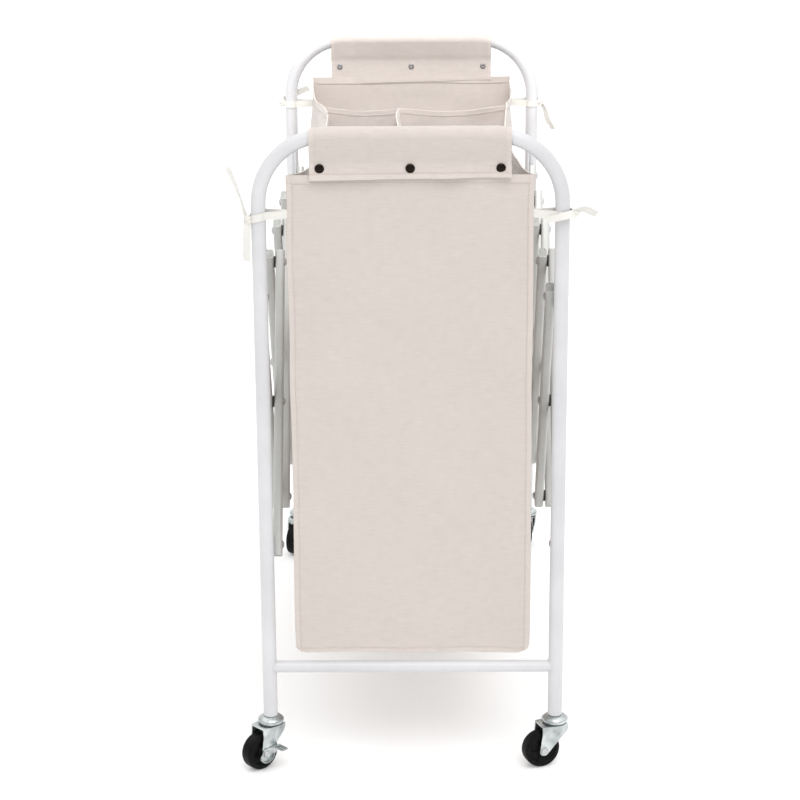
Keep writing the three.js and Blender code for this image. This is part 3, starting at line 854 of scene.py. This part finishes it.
class Bag:
    """Grid points shared where panels are sewn together, and the faces of all panels."""

    def __init__(self):
        self.xs = spaced(-LINER_X, LINER_X, LONG_DIVIDER_X)
        self.ys = spaced(NEAR_PANEL_Y, FAR_PANEL_Y, DIVIDER_Y)
        self.zs = spaced(BASE_Z, RIM_Z, TIE_Z)
        self.index, self.points, self.faces, self.keys = {}, [], [], {}
        self.last = last_x, last_y, last_z = [len(lines) - 1 for lines in (self.xs, self.ys, self.zs)]
        self.middle = middle_x, middle_y = nearest(self.xs, LONG_DIVIDER_X), nearest(self.ys, DIVIDER_Y)
        self.add("near", last_x, last_z, lambda a, b: (a, 0, b))
        self.add("far", last_x, last_z, lambda a, b: (a, last_y, b))
        self.add("left", last_y, last_z, lambda a, b: (0, a, b))
        self.add("right", last_y, last_z, lambda a, b: (last_x, a, b))
        self.add("bottom", last_x, last_y, lambda a, b: (a, b, 0))
        self.add("cross", last_x, last_z, lambda a, b: (a, middle_y, b))
        self.add("long", middle_y, last_z, lambda a, b: (middle_x, a, b))

    def place(self, key):
        i, j, k = key
        x, y, z = self.xs[i], self.ys[j], self.zs[k]
        up = (z - BASE_Z) / (RIM_Z - BASE_Z)
        side = 1 if x > 0 else -1
        if y < DIVIDER_Y:
            share = (y - NEAR_PANEL_Y) / (DIVIDER_Y - NEAR_PANEL_Y)
            loose = math.sin(math.pi * share) ** 0.3
            bow = DIVIDER_PULL[side] * share + LOOSE_BOW[side] * loose
            sag = RIM_SAG * loose
        else:
            share = (FAR_PANEL_Y - y) / (FAR_PANEL_Y - DIVIDER_Y)
            bow = DIVIDER_PULL[side] * share ** 1.4
            sag = FAR_RIM_DROP * max(1 - share, math.sin(math.pi * share))
        if 0 < j < self.last[1] and abs(x) < LINER_X - 0.001:
            on_left = x < LONG_DIVIDER_X
            start, stop = (-LINER_X, LONG_DIVIDER_X) if on_left else (LONG_DIVIDER_X, LINER_X)
            sag = DIVIDER_SAG * math.sin(math.pi * (x - start) / (stop - start)) ** 0.7
        bow *= up ** 2.2
        return Vector((x * (1 - bow / LINER_X), y, z - sag * up ** 4))

    def point(self, key):
        if key not in self.index:
            self.index[key] = len(self.points)
            self.points.append(self.place(key))
        return self.index[key]

    def add(self, name, across, down, key):
        """Adds a panel of across by down faces, whose grid point (a, b) is the bag's point key(a, b)."""
        self.keys[name] = [[key(a, b) for b in range(down + 1)] for a in range(across + 1)]
        self.faces += [
            [self.point(key(a + da, b + db)) for da, db in ((0, 0), (1, 0), (1, 1), (0, 1))]
            for a in range(across) for b in range(down)
        ]

    def flat(self, name, key):
        """Where a point was on the flat panel it belongs to, in metres."""
        i, j, k = key
        if name in ("near", "far", "cross"):
            return self.xs[i], self.zs[k], 0
        if name == "bottom":
            return self.xs[i], self.ys[j], 0
        return self.ys[j], self.zs[k], 0

    def object(self):
        mesh = bpy.data.meshes.new("bag")
        mesh.from_pydata([tuple(point) for point in self.points], [], self.faces)
        bag = bpy.data.objects.new("bag", mesh)
        bpy.context.scene.collection.objects.link(bag)
        return bag

    def held(self):
        """Points that the tongues and the ties hold, and those that the hems keep near their place."""
        last_x, last_y, last_z = self.last
        tie_row = nearest(self.zs, TIE_Z)
        fast, hemmed = [], []
        for (i, j, k), index in self.index.items():
            at_end = j in (0, last_y)
            under_tongue = k == last_z and abs(self.xs[i]) < FLAP_HALF_WIDTH + GRID
            at_tie = i in (0, last_x) and k >= tie_row
            if at_end and (under_tongue or at_tie):
                fast.append(index)
            elif k == last_z:
                hemmed.append(index)
        return fast, hemmed


def simulate(bag_object, held):
    """Lets the bag hang from its held points, and keeps the shape it comes to."""
    fast, hemmed = held
    group = bag_object.vertex_groups.new(name="held")
    group.add(fast, 1.0, "REPLACE")
    group.add(hemmed, HEM_HOLD, "REPLACE")
    cloth = bag_object.modifiers.new("cloth", "CLOTH")
    settings = cloth.settings
    settings.quality = 7
    settings.mass = 0.06
    settings.tension_stiffness = 60
    settings.compression_stiffness = 40
    settings.shear_stiffness = 12
    settings.bending_stiffness = 1.2
    settings.tension_damping = settings.compression_damping = settings.shear_damping = 12
    settings.air_damping = 3
    settings.vertex_group_mass = "held"
    cloth.collision_settings.use_collision = False
    cloth.collision_settings.use_self_collision = False
    cloth.point_cache.frame_start = 1
    cloth.point_cache.frame_end = SIM_FRAMES
    scene = bpy.context.scene
    for step in range(1, SIM_FRAMES + 1):
        scene.frame_set(step)
    shown = bag_object.evaluated_get(bpy.context.evaluated_depsgraph_get())
    places = [vertex.co.copy() for vertex in shown.data.vertices]
    bag_object.modifiers.clear()
    scene.frame_set(1)
    return places


def crumple(place, seed, size, scale):
    """A smooth small shift that depends only on where the point is."""
    shift = noise.noise_vector(place * scale + Vector((seed, seed * 1.7, -seed)))
    return shift * size


def even_hems(bag, places):
    """Evens out the rim along each panel, because a hem of several layers makes no tight folds."""
    (last_x, last_y, last_z), (middle_x, middle_y) = bag.last, bag.middle
    for row in range(1, HEM_ROWS + 1):
        k = last_z - HEM_ROWS + row
        spans = [[(i, j, k) for j in span] for i in (0, last_x)
                 for span in (range(middle_y + 1), range(middle_y, last_y + 1))]
        spans += [[(i, middle_y, k) for i in span]
                  for span in (range(middle_x + 1), range(middle_x, last_x + 1))]
        spans.append([(middle_x, j, k) for j in range(middle_y + 1)])
        share = 0.5 * row / HEM_ROWS
        for span in spans:
            line = [places[bag.index[key]] for key in span]
            for _ in range(HEM_PASSES):
                inner = [
                    here * (1 - share) + (before + after) * (share / 2)
                    for before, here, after in zip(line, line[1:], line[2:])
                ]
                line = [line[0], *inner, line[-1]]
            for key, place in zip(span, line):
                places[bag.index[key]] = place
    return places


def settle_bag(bag, places):
    """Keeps each point near its panel's place, and adds the small unevenness of sewn canvas."""
    last_x, last_y, _ = bag.last
    for (i, j, k), index in bag.index.items():
        cut, now = bag.place((i, j, k)), places[index]
        up = (now.z - BASE_Z) / (RIM_Z - BASE_Z)
        loose = crumple(cut, 3.1, 0.0022, 9) + crumple(cut, 7.7, 0.0009, 26)
        held_back = 0.25 if j in (0, last_y) and up > 0.97 else 1
        now = now + loose * held_back
        if i in (0, last_x):
            now.x = max(-LINER_X - MOST_OUT, min(LINER_X + MOST_OUT, now.x))
        if j == 0:
            low = -0.0005 if up > 0.95 else -MOST_OUT
            now.y = max(cut.y + low, min(cut.y + 0.02, now.y))
        if j == last_y:
            high = 0.0005 if up > 0.95 else MOST_OUT
            now.y = min(cut.y + high, max(cut.y - 0.02, now.y))
        now.z = max(BASE_Z - 0.006, min(RIM_Z + 0.001, now.z))
        places[index] = now
    return places


def round_edges(point, radius=0.011):
    """Rounds the bag's lower edges, which canvas can't hold square."""
    x_limit = LINER_X - radius
    z_limit = BASE_Z + radius
    x, z = abs(point.x) - x_limit, z_limit - point.z
    if x > 0 and z > 0:
        reach = math.hypot(x, z)
        if reach > radius:
            x, z = x * radius / reach, z * radius / reach
            point.x = math.copysign(x_limit + x, point.x)
            point.z = z_limit - z
    return point


def fold_with_frame(piece):
    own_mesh(piece)


def refined(rows):
    """A grid of points with a smooth new point between each two."""
    def along(values):
        padded = np.concatenate([2 * values[:1] - values[1:2], values, 2 * values[-1:] - values[-2:-1]])
        between = (9 * (padded[1:-2] + padded[2:-1]) - padded[:-3] - padded[3:]) / 16
        made = np.empty((2 * len(values) - 1, *values.shape[1:]))
        made[::2], made[1::2] = values, between
        return made
    return along(along(rows).swapaxes(0, 1)).swapaxes(0, 1)


def grid_normals(grid):
    normals = np.cross(np.gradient(grid, axis=0), np.gradient(grid, axis=1))
    return normals / np.maximum(np.linalg.norm(normals, axis=2, keepdims=True), 1e-9)


def sheet_mesh(name, grid, flat, thickness, lift=0.0):
    """A closed sheet round a grid of points, with its flat coordinates as the attribute "cloth"."""
    rows, columns = grid.shape[:2]
    normals = grid_normals(grid)
    front = grid + normals * (thickness / 2 + lift)
    back = grid - normals * (thickness / 2 - lift)
    points = np.concatenate([front.reshape(-1, 3), back.reshape(-1, 3)])
    index = np.arange(rows * columns).reshape(rows, columns)
    quads = np.stack([index[:-1, :-1], index[1:, :-1], index[1:, 1:], index[:-1, 1:]], axis=-1).reshape(-1, 4)
    count = rows * columns
    rim = np.concatenate([index[0, :], index[1:, -1], index[-1, -2::-1], index[-2:0:-1, 0]])
    edge = np.stack([rim, np.roll(rim, -1), np.roll(rim, -1) + count, rim + count], axis=-1)
    faces = np.concatenate([quads, quads[:, ::-1] + count, edge])
    mesh = bpy.data.meshes.new(name)
    mesh.from_pydata(points.tolist(), [], faces.tolist())
    work = bmesh.new()
    work.from_mesh(mesh)
    bmesh.ops.recalc_face_normals(work, faces=work.faces)
    work.to_mesh(mesh)
    work.free()
    label = mesh.attributes.new("cloth", "FLOAT_VECTOR", "POINT")
    both = np.concatenate([flat.reshape(-1, 3), flat.reshape(-1, 3)])
    label.data.foreach_set("vector", both.ravel())
    return mesh


def stitch_row(shape, line, out, length=0.0026, gap=0.0011, half=0.00035):
    """Adds short thread stitches along a line of points, on the side that out points to."""
    steps = np.concatenate([[0], np.cumsum(np.linalg.norm(np.diff(line, axis=0), axis=1))])
    count = int(steps[-1] / (length + gap))
    for number in range(count):
        ends = []
        for at in (number * (length + gap), number * (length + gap) + length):
            ends.append(Vector([float(np.interp(at, steps, line[:, axis])) for axis in range(3)]))
        middle_at = number * (length + gap) + length / 2
        up = Vector([float(np.interp(middle_at, steps, out[:, axis])) for axis in range(3)]).normalized()
        along = (ends[1] - ends[0]).normalized()
        across = along.cross(up).normalized()
        loops = []
        for share, width in ((0, 0.35), (0.25, 0.9), (0.5, 1.05), (0.75, 0.9), (1, 0.35)):
            centre = ends[0].lerp(ends[1], share) + up * (half * 0.5 * math.sin(math.pi * share))
            loops.append([
                centre + across * (half * width * math.cos(turn)) + up * (half * width * math.sin(turn))
                for turn in (2 * math.pi * k / 6 for k in range(6))
            ])
        shape.add(loft(loops))


class Stitching:
    """Thread on the pieces that move with one body."""

    def __init__(self, name, body, folds=False):
        self.shape = Shape()
        self.name, self.body, self.folds = name, body, folds

    def row(self, grid, thickness, front=True, back=True):
        """One row along a grid's single line of points."""
        line, normals = grid
        for side, wanted in ((1, front), (-1, back)):
            if wanted:
                stitch_row(self.shape, line + normals * (side * thickness / 2), normals * side)

    def finish(self):
        piece = add_piece(self.name, self.shape, self.body, thread)
        if self.folds:
            fold_with_frame(piece)
        return piece


def between(rows, mark):
    """The values at a place between two rows."""
    first = min(int(mark), len(rows) - 2)
    part = mark - first
    return rows[first] * (1 - part) + rows[first + 1] * part


def line_at(grid, share):
    """The points and the normals at a share of the way across a grid's columns."""
    columns = grid.swapaxes(0, 1)
    mark = share * (len(columns) - 1)
    return between(columns, mark), between(grid_normals(columns), mark)


def strip(grid, flat, low, high):
    """The part of a grid between two shares of the way across its columns, in four even columns."""
    marks = np.linspace(low, high, 4) * (grid.shape[1] - 1)
    return tuple(
        np.stack([between(values.swapaxes(0, 1), mark) for mark in marks], axis=1)
        for values in (grid, flat)
    )


def turned(grid, flat):
    return grid.swapaxes(0, 1), flat.swapaxes(0, 1)


def add_hem(name, band, layers, body):
    """The folded edge of a panel, over a strip of it."""
    return add_piece(name, sheet_mesh(name, *band, CLOTH * layers), body, hem_canvas, crease=50)


PANEL_FACTS = {
    # name: CAD node, body, whether it is a panel that folds with the frame on the real sorter (here that
    # picks its stitches and hem, and gives it its own mesh)
    "near": ("near_panel", "near_frame", False),
    "far": ("far_panel", "far_frame", False),
    "left": ("left_side_panel", "near_frame", True),
    "right": ("right_side_panel", "near_frame", True),
    "bottom": ("bottom_panel", "near_frame", True),
    "cross": ("cross_divider", "near_frame", True),
    "long": ("long_divider", "near_frame", True),
}


def panel_grid(bag, places, name):
    """A panel's points as a fine grid, and where each was on the flat panel."""
    keys = bag.keys[name]
    grid = refined(np.array([[tuple(places[bag.index[key]]) for key in row] for row in keys]))
    flat = refined(np.array([[bag.flat(name, key) for key in row] for row in keys]))
    if name in ("cross", "long"):
        # the dividers' tops are a little under the rim
        top = grid[:, -1] - grid[:, -2]
        grid[:, -1] = grid[:, -1] - top * 0.5
    if name == "long":
        from_cross = DIVIDER_Y - grid[..., 1]
        near_top = np.clip((grid[..., 2] - RIM_Z + 0.034) / 0.030, 0, 1) ** 1.3
        run = np.clip(from_cross / LEAN_RUN, 0, 1)
        grid[..., 0] -= LONG_DIVIDER_LEAN * near_top * run * (2 - run)
    rounded = [[tuple(round_edges(Vector(point))) for point in row] for row in grid]
    return np.array(rounded), flat


def make_liner():
    bag = Bag()
    bag_object = bag.object()
    places = [point.copy() for point in bag.points]
    places = simulate(bag_object, bag.held())
    bpy.data.objects.remove(bag_object)
    places = settle_bag(bag, even_hems(bag, places))
    stitches = {
        "near": Stitching("near_panel_stitches", "near_frame"),
        "far": Stitching("far_panel_stitches", "far_frame"),
        "fold": Stitching("liner_stitches", "near_frame", True),
    }
    height, width = RIM_Z - BASE_Z, 2 * LINER_X
    for name, (node, body, folds) in PANEL_FACTS.items():
        grid, flat = panel_grid(bag, places, name)
        mesh = sheet_mesh(f"{name}_cloth", grid, flat, CLOTH)
        panel = add_piece(f"{name}_cloth", mesh, body, canvas, [node], 50)
        thread_group = stitches["fold" if folds else name]
        # each seam: name, whether it is upright, the shares it lies between, layers, its stitches' share
        seams = []
        if name != "bottom":
            seams.append(("hem", False, 1 - HEM / height, 1.0, 1.7 if folds else 2.4, 0.12))
        if name in ("near", "far"):
            seams += [
                ("left_binding", True, 0.0, SIDE_BINDING / width, BINDING_LAYERS, 0.9),
                ("right_binding", True, 1 - SIDE_BINDING / width, 1.0, BINDING_LAYERS, 0.1),
                ("low_binding", False, 0.0, LOW_BINDING / height, BINDING_LAYERS, 0.85),
            ]
        extras = []
        for label, upright, low, high, layers, share in seams:
            band = strip(*(turned(grid, flat) if upright else (grid, flat)), low, high)
            extras.append(add_hem(f"{name}_{label}", band, layers, body))
            thread_group.row(line_at(band[0], share), CLOTH * layers)
        if folds:
            for piece in [panel, *extras]:
                fold_with_frame(piece)
    for group in stitches.values():
        group.finish()


# ---- flaps over the arches ----

KNEE_Z = middle("near_middle_snap").z + 0.0075
LEAF_LOW_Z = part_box("near_flap")[0].z
SNAP_Z = middle("near_middle_snap").z
LEAF_GAP = 0.0004             # the leaf's inner face is this far outside the arch's middle plane
TONGUE_POINTS = 7             # points of a flap's path below the arch's tube
FLAP_EDGE = 0.006             # width of the flap's folded edges
EDGE_LAYERS = 1.9
FLAP_HEM_LAYERS = 2.2
SNAPS = ("left", "middle", "right")


def tube_drop(x):
    """How far the arch's top has come down at x, where the tube bends."""
    beyond = max(0.0, abs(x) - (LEG_X - BEND_RADIUS))
    return BEND_RADIUS - math.sqrt(BEND_RADIUS ** 2 - beyond ** 2)


def flap_path(x, rim_z):
    """(out, z) pairs from the rim, over the tube and down the outside. out is away from the liner."""
    hug = TUBE_RADIUS + CLOTH / 2 + 0.0008
    centre_z = ARCH_Z - 0.85 * tube_drop(x)
    panel_out = -(abs(NEAR_PANEL_Y - NEAR_Y) + CLOTH * 0.6)
    leaf_out = CLOTH / 2 + LEAF_GAP
    drop = centre_z - KNEE_Z

    def leave(out):
        return math.asin(hug / math.hypot(drop, out)) - math.atan2(out, drop)

    def straight(start, end):
        """Three points between two."""
        return [
            (start[0] + (end[0] - start[0]) * share, start[1] + (end[1] - start[1]) * share)
            for share in (0.25, 0.5, 0.75)
        ]

    turns = np.linspace(-leave(-panel_out), math.pi + leave(leaf_out), 25)
    over = [(-hug * math.cos(turn), centre_z + hug * math.sin(turn)) for turn in turns]
    tucked = panel_out - 0.0006
    path = [(tucked, rim_z - 0.008), (tucked, rim_z - 0.004), (panel_out, rim_z + 0.004), (panel_out, KNEE_Z)]
    path += straight((panel_out, KNEE_Z), over[0]) + over + straight(over[-1], (leaf_out, KNEE_Z))
    return path + [(leaf_out, float(z)) for z in np.linspace(KNEE_Z, LEAF_LOW_Z, 7)]


def flap_grid(end, y, inwards):
    """The whole flap as a fine grid, from its tuck under the rim to its low edge."""
    snaps = [middle(f"{end}_{place}_snap").x for place in SNAPS]
    rim_z = RIM_Z if end == "near" else RIM_Z - FAR_RIM_DROP
    rows, flats = [], []
    for x in np.linspace(-FLAP_HALF_WIDTH, FLAP_HALF_WIDTH, 37).tolist():
        path = flap_path(x, rim_z)
        from_snap = min(abs(x - snap) for snap in snaps)
        row, flat_row, run = [], [], 0.0
        for before, (out, z) in zip([path[0], *path], path):
            run += math.hypot(out - before[0], z - before[1])
            ripple = 0.5 + noise.noise(Vector((x, y, z)) * 22 + Vector((5.3, 0, y * 3)))
            low = max(0.0, (SNAP_Z - z) / (SNAP_Z - LEAF_LOW_Z))
            bulge = 0.00035 * ripple
            if out > 0 and z < ARCH_Z - 0.004:
                loose = min(1.0, math.hypot(from_snap, z - SNAP_Z) / 0.035)
                bulge = 0.0011 * ripple * loose + 0.0036 * low * (0.5 + ripple)
            edge_wave = noise.noise(Vector((y * 5, z * 40, 1.5 * math.copysign(1, x))))
            side_shift = 0.0008 * edge_wave * (abs(x) / FLAP_HALF_WIDTH) ** 6
            tip = 0.0016 * (x / FLAP_HALF_WIDTH) * low
            row.append((x + side_shift, y - inwards * (out + bulge), z + tip))
            flat_row.append((x, run, 0))
        rows.append(row)
        flats.append(flat_row)
    return refined(np.array(rows)), refined(np.array(flats))


def make_flap(end, y, inwards):
    """One cloth in two pieces: the tongue stays with the frame; the leaf, which would lift from the arch's
    top, is attached to no body.
    """
    grid, flat = flap_grid(end, y, inwards)
    low_band = strip(grid, flat, 1 - 4 / (grid.shape[1] - 1), 1.0)
    hem = add_hem(f"{end}_flap_hem", low_band, FLAP_HEM_LAYERS, f"{end}_flap")
    width = 2 * FLAP_HALF_WIDTH
    split = 2 * TONGUE_POINTS
    for part, columns in (("tongue", slice(None, split + 1)), ("flap", slice(split, None))):
        lifts = part == "flap"
        body = None if lifts else f"{end}_frame"
        part_grid, part_flat = grid[:, columns], flat[:, columns]
        mesh = sheet_mesh(f"{end}_{part}_cloth", part_grid, part_flat, CLOTH)
        replaced = [f"{end}_flap"] if lifts else ()
        cloth = add_piece(f"{end}_{part}_cloth", mesh, body, canvas, replaced, 50)
        across = turned(part_grid, part_flat)
        edges = [
            add_hem(f"{end}_{part}_{label}_edge", strip(*across, low, high), EDGE_LAYERS, body)
            for label, low, high in (("left", 0.0, FLAP_EDGE / width), ("right", 1 - FLAP_EDGE / width, 1.0))
        ]
        if lifts:
            for piece in (cloth, *edges):
                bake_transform(piece)
            edges.append(hem)
    sewing = Stitching(f"{end}_flap_stitches", f"{end}_flap")
    sewing.row(line_at(low_band[0], 0.08), CLOTH * FLAP_HEM_LAYERS)
    sewing.finish()
    make_snaps(end, y, inwards)


def make_snaps(end, y, inwards):
    """The three fasteners: bronze caps on the leaf, and their sockets behind the tongue."""
    low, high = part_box(f"{end}_middle_snap")
    face_y = high.y if inwards > 0 else low.y
    cap = [
        (0, 0.0024), (0.0020, 0.00235), (0.0036, 0.0021), (0.0047, 0.0016), (0.0052, 0.0011),
        (0.0055, 0.0012), (0.0058, 0.0010), (0.0060, 0.0005), (0.0059, 0), (0, 0),
    ]
    socket = [
        (0, 0.0009), (0.0012, 0.0009), (0.0014, 0.0016), (0.0025, 0.0017), (0.0028, 0.0008),
        (0.0037, 0.0006), (0.0042, 0.0011), (0.0045, 0.0008), (0.0046, 0), (0, 0),
    ]
    out, back = (Matrix.Rotation(sign * math.pi / 2 * inwards, 4, "X") for sign in (1, -1))
    inner_y = y + inwards * (abs(NEAR_PANEL_Y - NEAR_Y) + CLOTH * 1.1)
    sockets = Shape()
    for place in SNAPS:
        node = f"{end}_{place}_snap"
        x = middle(node).x
        shape = Shape().add(lathe(cap[::-1], 24), Matrix.Translation((x, face_y, SNAP_Z)) @ out)
        add_piece(f"{end}_{place}_snap_cap", shape, f"{end}_flap", bronze, [node])
        sockets.add(lathe(socket[::-1], 24), Matrix.Translation((x, inner_y, SNAP_Z)) @ back)
    add_piece(f"{end}_snap_sockets", sockets, f"{end}_frame", socket_silver)


# ---- ties ----


def ribbon(name, line, wide, thickness, body):
    """A tape along a line of (point, direction across the tape)."""
    width = wide / 2
    rows, flats, run = [], [], 0.0
    for number, (point, across) in enumerate(line):
        if number:
            run += (point - line[number - 1][0]).length
        across = across.normalized()
        rows.append([tuple(point + across * (width * share)) for share in (-1, -0.5, 0, 0.5, 1)])
        flats.append([(width * share, run, 0) for share in (-1, -0.5, 0, 0.5, 1)])
    grid, flat = refined(np.array(rows)), refined(np.array(flats))
    piece = add_piece(name, sheet_mesh(name, grid, flat, thickness), body, tape, crease=60)


# Each tie: its knot's place beyond the leg, then its tails. Points are (outwards, away from the near
# end, up), a tail's from its knot. A tail begins with the angle that its tape is turned by.
TIES = {
    ("near", "left"): ((0.0130, -0.004, -0.006), [
        (1.25, [
            (0, 0, 0), (0.004, 0, 0.009), (0.007, 0, 0.022), (0.0145, 0.001, 0.044), (0.0235, 0.001, 0.0665),
        ]),
        (0.05, [
            (0, 0, 0), (0.001, -0.003, -0.007), (0.002, -0.004, -0.022), (0.0025, -0.003, -0.038),
            (0.002, -0.002, -0.053),
        ]),
    ]),
    ("near", "right"): ((0.0155, -0.002, 0), [
        (0.55, [
            (0, 0, 0), (0.005, -0.002, 0.005), (0.012, -0.003, 0.006), (0.019, -0.003, 0.003),
            (0.027, -0.002, -0.001),
        ]),
        (0.75, [
            (0, -0.002, 0), (-0.006, -0.011, 0.001), (-0.017, -0.014, -0.001), (-0.027, -0.012, -0.004),
            (-0.036, -0.008, -0.007),
        ]),
    ]),
    ("far", "left"): ((0.0155, 0, 0.001), [
        (0.7, [
            (0, 0, 0), (0.006, -0.002, -0.001), (0.013, -0.003, -0.006), (0.020, -0.002, -0.008),
            (0.027, -0.001, -0.009),
        ]),
        (0.35, [
            (0, 0, 0), (-0.006, 0.013, 0.005), (-0.020, 0.014, 0.011), (-0.032, 0.010, 0.017),
            (-0.043, 0.006, 0.022),
        ]),
    ]),
    ("far", "right"): ((0.0140, -0.002, 0), [
        (0.85, [
            (0, 0, 0), (0.006, -0.002, -0.008), (0.0085, -0.003, -0.017), (0.012, -0.003, -0.028),
            (0.0215, -0.002, -0.043),
        ]),
        (0.3, [(0, 0, 0), (0.001, 0.004, 0.009), (-0.007, 0.012, 0.015), (-0.018, 0.014, 0.021)]),
    ]),
}
TIE_WIDTH = 0.0100
TAPE = 0.0008                 # thickness


def make_knot(place):
    """Crossed turns of tape pulled into a lump."""
    lump = bmesh.new()
    bmesh.ops.create_icosphere(lump, subdivisions=4, radius=1.0)
    for vertex in lump.verts:
        p = vertex.co.copy()
        turns = 0.16 * math.sin(5 * math.atan2(p.z, p.y) + 3 * p.x)
        fold = 1 + turns + 0.10 * noise.noise(p * 2.4 + place * 30)
        vertex.co = Vector((p.x * 0.0046, p.y * 0.0050, p.z * 0.0056)) * fold + place
    mesh = bpy.data.meshes.new("knot")
    lump.to_mesh(mesh)
    lump.free()
    label = mesh.attributes.new("cloth", "FLOAT_VECTOR", "POINT")
    label.data.foreach_set("vector", [value for vertex in mesh.vertices for value in vertex.co])
    return mesh


def make_tie(end, y, inwards, side_name, side):
    body = f"{end}_frame"
    up = Vector((0, 0, 1))
    hug = TUBE_RADIUS + 0.0009
    knot_shift, tails = TIES[end, side_name]
    leg = Vector((side * LEG_X, y, TIE_Z))
    knot = leg + Vector((side * knot_shift[0], *knot_shift[1:]))
    corner = Vector((side * (LINER_X - 0.002), y + inwards * 0.0016, TIE_Z))
    # the loop: from the bag's corner, round both sides of the leg, to the knot outside it
    for label, way in (("front", -inwards), ("back", inwards)):
        lift = 0.0012 * way
        before_leg = leg - Vector((side * 0.020, 0, 0))
        line = [corner, corner.lerp(before_leg, 0.5) + Vector((0, way * 0.0006, lift))]
        for turn in (150, 125, 100, 75, 50, 25):
            out, away = hug * math.cos(math.radians(turn)), hug * math.sin(math.radians(turn))
            drop = knot_shift[2] * ((150 - turn) / 150) ** 1.5
            line.append(leg + Vector((side * out, way * away, lift + drop)))
        line.append(knot - Vector((side * 0.002, 0, 0)))
        line = [(point, up) for point in line]
        ribbon(f"{end}_{side_name}_tie_{label}", line, TIE_WIDTH, TAPE, body)
    node = f"{end}_{side_name}_tie"
    add_piece(f"{node}_knot", make_knot(knot), body, tape, [node], 180)
    for number, (turned, tail) in enumerate(tails):
        line = []
        points = [Vector((side * out, away, rise)) for out, away, rise in tail]
        for step, point in enumerate(points):
            along = (points[min(step + 1, len(points) - 1)] - points[max(step - 1, 0)]).normalized()
            across = along.cross(Vector((0, -1, 0))).normalized()
            wave = 0.2 * math.sin(step * 1.3 + number * 2 + side)
            squeeze = 0.5 if step == 0 else 1
            line.append((knot + point, Matrix.Rotation(turned + wave, 3, along) @ across * squeeze))
        ribbon(f"{end}_{side_name}_tie_tail_{number + 1}", line, TIE_WIDTH, TAPE, body)


make_liner()
for end_name, end_y, inwards in ENDS:
    make_flap(end_name, end_y, inwards)
    for side_name, side in SIDES:
        make_tie(end_name, end_y, inwards, side_name, side)

# ---- stage ----


ROOM = 0.72                   # brightness of the studio round the camera
BACKDROP = 1.0
CEILING = 1.45
FLOOR_HALF = 14
SUN_WAY = Vector((-0.28, 1.0, -1.5))
SOFTBOX_PLACE = Vector((0, -0.55, 1.6))
SOFTBOX_AIM = Vector((0, 0.42, 0.66))


def add_light(name, kind, energy, place, way):
    data = bpy.data.lights.new(name, kind)
    data.energy = energy
    light = bpy.data.objects.new(name, data)
    light.location = place
    light.rotation_euler = way.to_track_quat("-Z", "Y").to_euler()
    bpy.context.scene.collection.objects.link(light)
    return data


def make_stage():
    mesh = bpy.data.meshes.new("floor")
    corners = [(x * FLOOR_HALF, y * FLOOR_HALF, 0) for x, y in ((-1, -1), (1, -1), (1, 1), (-1, 1))]
    mesh.from_pydata(corners, [], [[0, 1, 2, 3]])
    floor = bpy.data.objects.new("floor", mesh)
    mesh.materials.append(floor_material())
    bpy.context.scene.collection.objects.link(floor)

    world = bpy.data.worlds.new("studio")
    world.use_nodes = True
    tree = world.node_tree
    tree.nodes["Background"].inputs["Color"].default_value = (1, 1, 1, 1)
    ways = tree.nodes.new("ShaderNodeSeparateXYZ")
    tree.links.new(tree.nodes.new("ShaderNodeTexCoord").outputs["Generated"], ways.inputs[0])

    def rising(way, start, end, low, high):
        """A brightness that rises smoothly between two directions."""
        spread = tree.nodes.new("ShaderNodeMapRange")
        spread.interpolation_type = "SMOOTHSTEP"
        tree.links.new(way, spread.inputs["Value"])
        for socket, value in (("From Min", start), ("From Max", end), ("To Min", low), ("To Max", high)):
            spread.inputs[socket].default_value = value
        return spread.outputs["Result"]

    brighter = tree.nodes.new("ShaderNodeMath")
    brighter.operation = "MAXIMUM"
    tree.links.new(rising(ways.outputs["Y"], 0.2, 0.7, ROOM, BACKDROP), brighter.inputs[0])
    tree.links.new(rising(ways.outputs["Z"], 0.25, 0.85, ROOM, CEILING), brighter.inputs[1])
    tree.links.new(brighter.outputs[0], tree.nodes["Background"].inputs["Strength"])
    bpy.context.scene.world = world

    add_light("key", "SUN", 0.9, (0, 0, 0), SUN_WAY).angle = math.radians(38)
    softbox = add_light("softbox", "AREA", 1.25, SOFTBOX_PLACE, SOFTBOX_AIM - SOFTBOX_PLACE)
    softbox.shape = "SQUARE"
    softbox.size = 0.5
    softbox.spread = math.radians(52)
    bpy.context.scene.view_settings.view_transform = "Standard"


make_stage()
